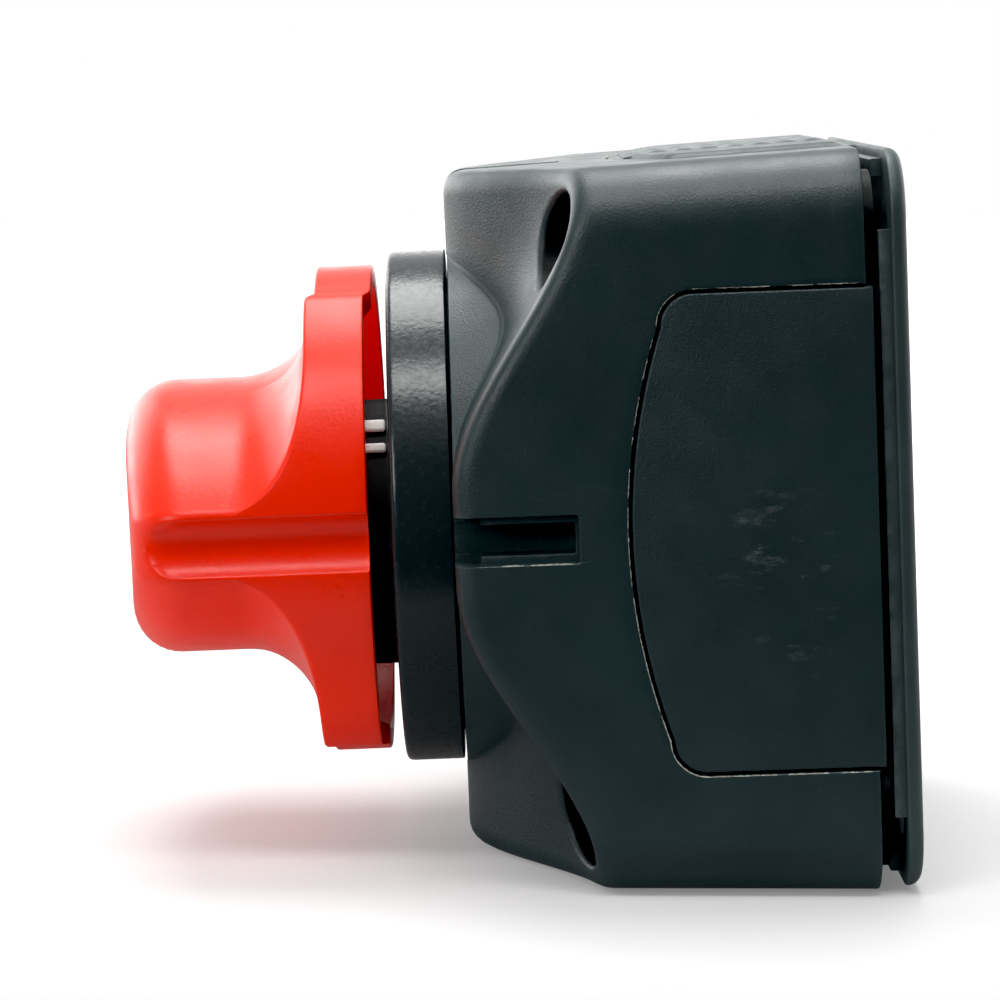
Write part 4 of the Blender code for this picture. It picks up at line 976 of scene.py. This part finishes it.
def grip_outline():
    """Closed outline of the grip: two arcs and two tips, with the corners between them rounded."""
    reach = sqrt(KNOB_RADIUS ** 2 - TIP_HALF ** 2)
    sagitta = GRIP_HALF - TIP_HALF
    radius = (reach ** 2 + sagitta ** 2) / (2 * sagitta)
    tip_angle = asin(TIP_HALF / KNOB_RADIUS)
    half = []
    for step in range(60):
        angle = -tip_angle + 2 * tip_angle * step / 60
        half.append((KNOB_RADIUS * cos(angle), KNOB_RADIUS * sin(angle)))
    spread = asin(reach / radius)
    for step in range(420):
        angle = spread * (1 - 2 * step / 420)
        half.append((radius * sin(angle), GRIP_HALF - radius + radius * cos(angle)))
    points = half + [(-x, -z) for x, z in half]
    lengths = [0.0]
    for (x0, z0), (x1, z1) in zip(points, points[1:] + points[:1]):
        lengths.append(lengths[-1] + hypot(x1 - x0, z1 - z0))
    total = lengths[-1]
    count = 960
    even = []
    place_in = 0
    for step in range(count):
        target = total * step / count
        while lengths[place_in + 1] < target:
            place_in += 1
        share = (target - lengths[place_in]) / (lengths[place_in + 1] - lengths[place_in])
        here, following = points[place_in], points[(place_in + 1) % len(points)]
        even.append((here[0] + (following[0] - here[0]) * share, here[1] + (following[1] - here[1]) * share))
    for _ in range(2):
        window = 3
        even = [tuple(sum(even[(index + shift) % count][axis] for shift in range(-window, window + 1))
                      / (2 * window + 1) for axis in (0, 1)) for index in range(count)]
    samples = []
    for index in range(count):
        x, z = even[index]
        near_tip = abs(z) < 6.5 and abs(x) > 18.0
        if not near_tip and index % 4:
            continue
        before, after = even[index - 3], even[(index + 3) % count]
        dx, dz = after[0] - before[0], after[1] - before[1]
        length = hypot(dx, dz)
        normal = (dz / length, -dx / length)
        if normal[0] * x + normal[1] * z < 0:
            normal = (-normal[0], -normal[1])
        samples.append((x, z, normal))
    return samples


def in_sector(x, z):
    """1 in the pointer's sector of the flange, 0 outside it, with a short step between."""
    bearing = abs(atan2(z, x))
    return smoothstep((SECTOR + 0.05 - bearing) / 0.10)


def reach_to(x, z, normal, radius):
    """Distance along the normal from a point to a circle about the knob's axis."""
    along = x * normal[0] + z * normal[1]
    inside = along * along - (x * x + z * z - radius * radius)
    return max(-along + sqrt(max(inside, 0.0)), 0.0)


def cove_level(distance, front):
    share = max(0.0, 1.0 - distance / COVE_REACH)
    return front + (COVE_START - SECTOR_FRONT) * (1.0 - sqrt(1.0 - share * share)) * (
        (COVE_START - front) / (COVE_START - SECTOR_FRONT))


def grooved(x, z):
    """Push a point of the pointer tip in to the groove's surface, with a rounded lip."""
    if x < 18.0 or abs(z) >= GROOVE_RADIUS:
        return x, z
    surface = GROOVE_CENTRE - sqrt(GROOVE_RADIUS ** 2 - z * z)
    soft = 0.22
    gap = max(soft - abs(x - surface), 0.0) / soft
    return min(x, surface) - gap * gap * soft * 0.25, z


def crowned(x):
    return KNOB_FRONT - KNOB_CROWN * x * x


def knob_column(x, z, normal):
    """One line of points from the grip's front to the flange, its rear edge and the cup inside."""
    column = []
    for share in (0.0, 0.16, 0.32, 0.48, 0.62, 0.75, 0.86, 0.94, 0.985, 1.0):
        depth = GRIP_CORNER * (1 - sqrt(1 - share ** 2))
        inset = GRIP_CORNER * (1 - share)
        point = grooved(x * (1 - inset / KNOB_RADIUS), z * (1 - inset / GRIP_HALF))
        column.append((point[0], crowned(point[0]) - depth, point[1]))
    start = column[-1][1]
    for step in range(1, 7):
        point = grooved(x, z)
        column.append((point[0], start + (COVE_START - start) * step / 6, point[1]))
    distance = reach_to(x, z, normal, KNOB_RADIUS)
    share = in_sector(x + distance * normal[0], z + distance * normal[1])
    radius = RIM_RADIUS + (KNOB_RADIUS - RIM_RADIUS) * share
    front = RIM_FRONT + (SECTOR_FRONT - RIM_FRONT) * share
    rear = RIM_REAR + (SECTOR_REAR - RIM_REAR) * share
    distance = reach_to(x, z, normal, radius)
    edge = min(0.35, 0.3 * distance)
    for step in range(1, 21):
        out = (distance - edge) * (1 - cos(pi / 2 * step / 20))
        level = cove_level(out, front)
        point = grooved(x + out * normal[0], z + out * normal[1])
        column.append((point[0], level, point[1]))
    rim = (x + distance * normal[0], z + distance * normal[1])
    level = cove_level(distance, front)
    before = column[-1]
    corner = (rim[0], level, rim[1])
    lower = (rim[0], level - max(edge, 0.03), rim[1])
    for share in (0.3, 0.55, 0.8, 1.0):
        point = rounded(before, corner, lower, share)
        moved = grooved(point[0], point[2])
        column.append((moved[0], point[1], moved[1]))
    start = lower[1]
    for step in range(1, 9):
        point = grooved(*rim)
        column.append((point[0], start + (rear + 0.25 - start) * step / 8, point[1]))
    length = hypot(*rim)
    direction = (rim[0] / length, rim[1] / length)
    for inset, forward in ((0.05, rear + 0.08), (0.18, rear)):
        point = grooved(direction[0] * (length - inset), direction[1] * (length - inset))
        column.append((point[0], forward, point[1]))
    for inner, forward in ((CUP_RADIUS + 0.15, rear), (CUP_RADIUS, rear + 0.15),
                           (CUP_RADIUS, CUP_FRONT - 0.6), (CUP_RADIUS - 0.18, CUP_FRONT - 0.18),
                           (CUP_RADIUS - 0.6, CUP_FRONT), (14.0, CUP_FRONT)):
        column.append((direction[0] * inner, forward, direction[1] * inner))
    return column


def build_knob():
    columns = [knob_column(*sample) for sample in grip_outline()]
    rings = [[place(*column[level]) for column in columns] for level in range(len(columns[0]))]
    rings = [[place(0.0, KNOB_FRONT, 0.0)]] + [
        [place(x * share, crowned(x * share), z * share) for x, _, z in (column[0] for column in columns)]
        for share in (0.2, 0.4, 0.6, 0.8)] + rings + [[place(0.0, CUP_FRONT, 0.0)]]
    mesh = bmesh.new()
    add_loft(mesh, rings)
    knob = new_object("knob_grip", mesh)
    socket = bmesh.new()
    half = 5.8
    outline = [(-half, -half), (half, -half), (half, half), (-half, half)]
    flared_prism(socket, [(outline, 52.0), (outline, 66.0)], axial)
    seat = bmesh.new()
    add_turned(seat, [(0.0, 59.8), (8.9, 59.8), (8.9, 61.2), (0.0, 61.2)], 64)
    hollows = bmesh.new()
    for sign in (-1, 1):
        outline = [(10.5, 8.5), (16.0, 6.0), (20.0, 3.0), (20.0, -3.0), (16.0, -6.0), (10.5, -8.5)]
        flared_prism(hollows, [([(sign * x, z) for x, z in outline], 52.5),
                               ([(sign * x, z) for x, z in outline], 70.0)], axial)
    carve(knob, [("DIFFERENCE", socket), ("DIFFERENCE", seat), ("DIFFERENCE", hollows)], 36.0)
    knob.data.transform(Matrix.Rotation(KNOB_TURN, 4, "Y"))
    finish_piece(knob, red, "knob_assembly", "knob_red", "knob")


# ---- screws, studs and inner pieces -------------------------------------------------------------

def add_thread(mesh, centre, root, crest, pitch, low, high, sides=36, head=()):
    """A rod with a rolled thread between low and high, closed by a head or end profile."""
    steps = int((high - low) / pitch * 8)
    rings = [[place(centre[0], low, centre[1])]]
    for step in range(steps + 1):
        forward = low + (high - low) * step / steps
        fade = min(1.0, (forward - low) / pitch, (high - forward) / pitch)
        ring = []
        for side in range(sides):
            angle = tau * side / sides
            phase = (forward / pitch - side / sides) % 1.0
            ridge = smoothstep(1.0 - abs(phase - 0.5) * 2.6)
            radius = root + (crest - root) * ridge * max(fade, 0.0)
            x, z = centre[0] + radius * cos(angle), centre[1] + radius * sin(angle)
            ring.append(place(x, forward, z))
        rings.append(ring)
    rings += [circle(centre, radius, forward, sides) for radius, forward in head]
    rings.append([place(centre[0], (head[-1][1] if head else high), centre[1])])
    add_loft(mesh, rings)


def build_screws():
    for number, (x, z) in enumerate(corners(SCREW_X, SCREW_Z), start=1):
        mesh = bmesh.new()
        head = [(0.62, 4.35), (0.62, 4.3), (1.5, 4.3), (1.6, 4.2), (1.6, 3.8), (1.52, 3.5), (1.3, 3.25),
                (0.95, 3.06), (0.5, 2.97)]
        add_thread(mesh, (x, z), 0.62, 0.85, 0.75, 26.8, 4.4, 28, head)
        screw = new_object(f"screw_{number}", mesh)
        slot = bmesh.new()
        outline = [(x + a, z + b) for a, b in ((-2.0, -0.2), (2.0, -0.2), (2.0, 0.2), (-2.0, 0.2))]
        flared_prism(slot, [(outline, 2.0), (outline, 3.5)], axial)
        carve(screw, [("DIFFERENCE", slot)])
        finish_piece(screw, zinc, "base", "zinc_steel", f"base_screw_{number}")


def build_studs():
    for name, x in (("right", 16.0), ("left", -16.0)):
        mesh = bmesh.new()
        head = [(4.9, 15.4), (6.9, 15.4), (7.3, 15.5), (7.4, 15.8), (7.4, 17.4), (7.25, 17.75), (6.9, 17.9)]
        add_thread(mesh, (x, 0.0), 4.35, 4.9, 1.5, 3.4, 15.2, 64, head)
        stud = new_object(f"stud_{name}", mesh)
        finish_piece(stud, tin, "base", "tinned_brass", f"terminal_stud_{name}")


def dress_cad_nodes():
    """Materials, and softened edges, for the CAD pieces that stay."""
    finishes = {
        "bezel_gasket": rubber, "shaft_seal": rubber, "detent_ball": zinc, "detent_spring": zinc,
        "return_spring": zinc, "contact_block": insulator, "cam_rotor": insulator,
        "bridge_carrier": insulator,
        "drive_shaft": zinc, "retaining_clip": zinc, "rotor_screw": zinc, "contact_bridge": copper,
        "bridge_rivet_1": copper, "bridge_rivet_2": copper, "contact_tip_1": silver, "contact_tip_2": silver}
    for side in ("right", "left"):
        for piece in ("flat_washer", "spring_washer", "stud_nut"):
            finishes[f"{piece}_{side}"] = zinc
    for name, material in finishes.items():
        item = nodes[name]
        item.data.materials.clear()
        item.data.materials.append(material)
    for name in ("contact_block", "cam_rotor", "bridge_carrier", "contact_bridge", "drive_shaft"):
        bevel = nodes[name].modifiers.new("soft_edges", "BEVEL")
        bevel.width = 0.15 * MM
        bevel.segments = 2
        bevel.limit_method = "ANGLE"
        bevel.angle_limit = radians(50)


# ---- floor, light and camera --------------------------------------------------------------------

def build_floor():
    """A pale sweep that the lower, drafted side lies on."""
    mesh = bmesh.new()
    lean = tan(DRAFT)
    rest = -REAR_HALF - HOUSING_REAR * lean
    spots = []
    for x, y in ((-1.6, -1.2), (0.068, -1.2), (0.068, 1.2), (-1.6, 1.2)):
        spots.append(mesh.verts.new((x, y, rest * MM - y * lean)))
    mesh.faces.new(spots)
    bmesh.ops.subdivide_edges(mesh, edges=mesh.edges, cuts=24, use_grid_fill=True)
    data = bpy.data.meshes.new("studio_floor")
    mesh.to_mesh(data)
    mesh.free()
    floor = add_item("studio_floor", data)
    graph = Graph(bpy.data.materials.new("studio_floor"))
    # painted shade in reflections: glossy rays see the floor near black and glowing less, so it shows dark in
    # the glossy parts
    path = graph.node("ShaderNodeLightPath")
    mirrored = path.outputs["Is Glossy Ray"]
    pale_floor = graph.blend(graph.noise(6.0, 2.0), (0.60, 0.60, 0.60, 1.0), (0.63, 0.63, 0.63, 1.0))
    floor_reflection_shade = graph.math("MULTIPLY", mirrored, 0.8)
    graph.set("Base Color", graph.blend(floor_reflection_shade, pale_floor, (0.05, 0.05, 0.05, 1.0)))
    graph.set("Emission Color", WHITE)
    glow = graph.ramp(graph.axis("X"), -0.05, -0.45, 0.18, 0.95)
    graph.set("Emission Strength", graph.math("MULTIPLY", glow, graph.ramp(mirrored, 0.0, 1.0, 1.0, 0.3)))
    graph.set("Roughness", 0.9)
    graph.set("Specular IOR Level", 0.1)
    data.materials.append(graph.owner)


def add_softbox(name, direction, distance, size_x, size_y, power):
    data = bpy.data.lights.new(name, "AREA")
    data.shape = "RECTANGLE"
    data.size = size_x
    data.size_y = size_y
    data.energy = power
    item = add_item(name, data)
    way = Vector(direction).normalized()
    item.location = Vector((0.0, -0.045, 0.0)) + way * distance
    item.rotation_euler = way.to_track_quat("Z", "Y").to_euler()


def build_light():
    world = bpy.data.worlds.new("studio")
    bpy.context.scene.world = world
    world.use_nodes = True
    world.node_tree.nodes.clear()
    graph = Graph(world, "Generated")
    side = graph.ramp(graph.axis("X"), -0.55, 0.35, 2.6, 0.03)
    low = graph.ramp(graph.axis("Z"), 0.16, 0.40, 1.0, 0.30)
    above = graph.ramp(graph.axis("Z"), 0.45, 0.98)
    strength = graph.math("MAXIMUM", graph.math("MULTIPLY", side, low), above)
    lighting = graph.node("ShaderNodeBackground", {"Color": WHITE, "Strength": strength})
    seen = graph.node("ShaderNodeBackground", {"Color": WHITE, "Strength": 1.0})
    path = graph.node("ShaderNodeLightPath")
    choose = graph.node("ShaderNodeMixShader", {0: path.outputs["Is Camera Ray"], 1: lighting.outputs[0],
                                                2: seen.outputs[0]})
    graph.node("ShaderNodeOutputWorld", {"Surface": choose.outputs[0]})
    add_softbox("softbox_key", (-0.29, 0.0, 0.956), 0.55, 0.30, 0.32, 2.3)
    add_softbox("softbox_front", (0.46, 0.0, 0.89), 0.55, 0.40, 0.13, 1.4)
    add_softbox("softbox_left", (-0.70, -0.60, 0.38), 0.80, 0.50, 0.50, 1.5)
    add_softbox("softbox_side", (0.72, -0.60, 0.34), 0.70, 0.26, 0.26, 1.3)


def build_camera():
    """Facing the +X side from a little above it, slightly rolled."""
    data = bpy.data.cameras.new("camera")
    data.sensor_width = 36.0
    data.lens = 137.53
    data.clip_start = 0.01
    item = add_item("camera", data)
    azimuth, elevation, roll = radians(-0.131), radians(6.386), radians(-2.326)
    back = Vector((cos(azimuth) * cos(elevation), -sin(azimuth) * cos(elevation),
                   sin(elevation)))
    right = Vector((0.0, 0.0, 1.0)).cross(back).normalized()
    up = back.cross(right)
    turned_right = right * cos(roll) + up * sin(roll)
    turned_up = up * cos(roll) - right * sin(roll)
    basis = Matrix((turned_right, turned_up, back)).transposed()
    middle = Vector((0.0, -37.8, 0.14)) * MM
    item.matrix_world = Matrix.Translation(middle + back * 381.5 * MM) @ basis.to_4x4()
    bpy.context.scene.camera = item


build_camera()
build_housing()
build_side_panels()
build_panel_seals()
build_rear_cover()
build_bezel()
build_marks()
build_knob()
build_screws()
build_studs()
build_flash()
dress_cad_nodes()
build_floor()
build_light()

scene = bpy.context.scene
scene.view_settings.view_transform = "Standard"
scene.view_settings.look = "None"
scene.view_settings.exposure = 0.0
scene.view_settings.use_curve_mapping = True
scene.view_settings.curve_mapping.black_level = (0.007, 0.006, 0.0055)
scene.view_settings.curve_mapping.update()
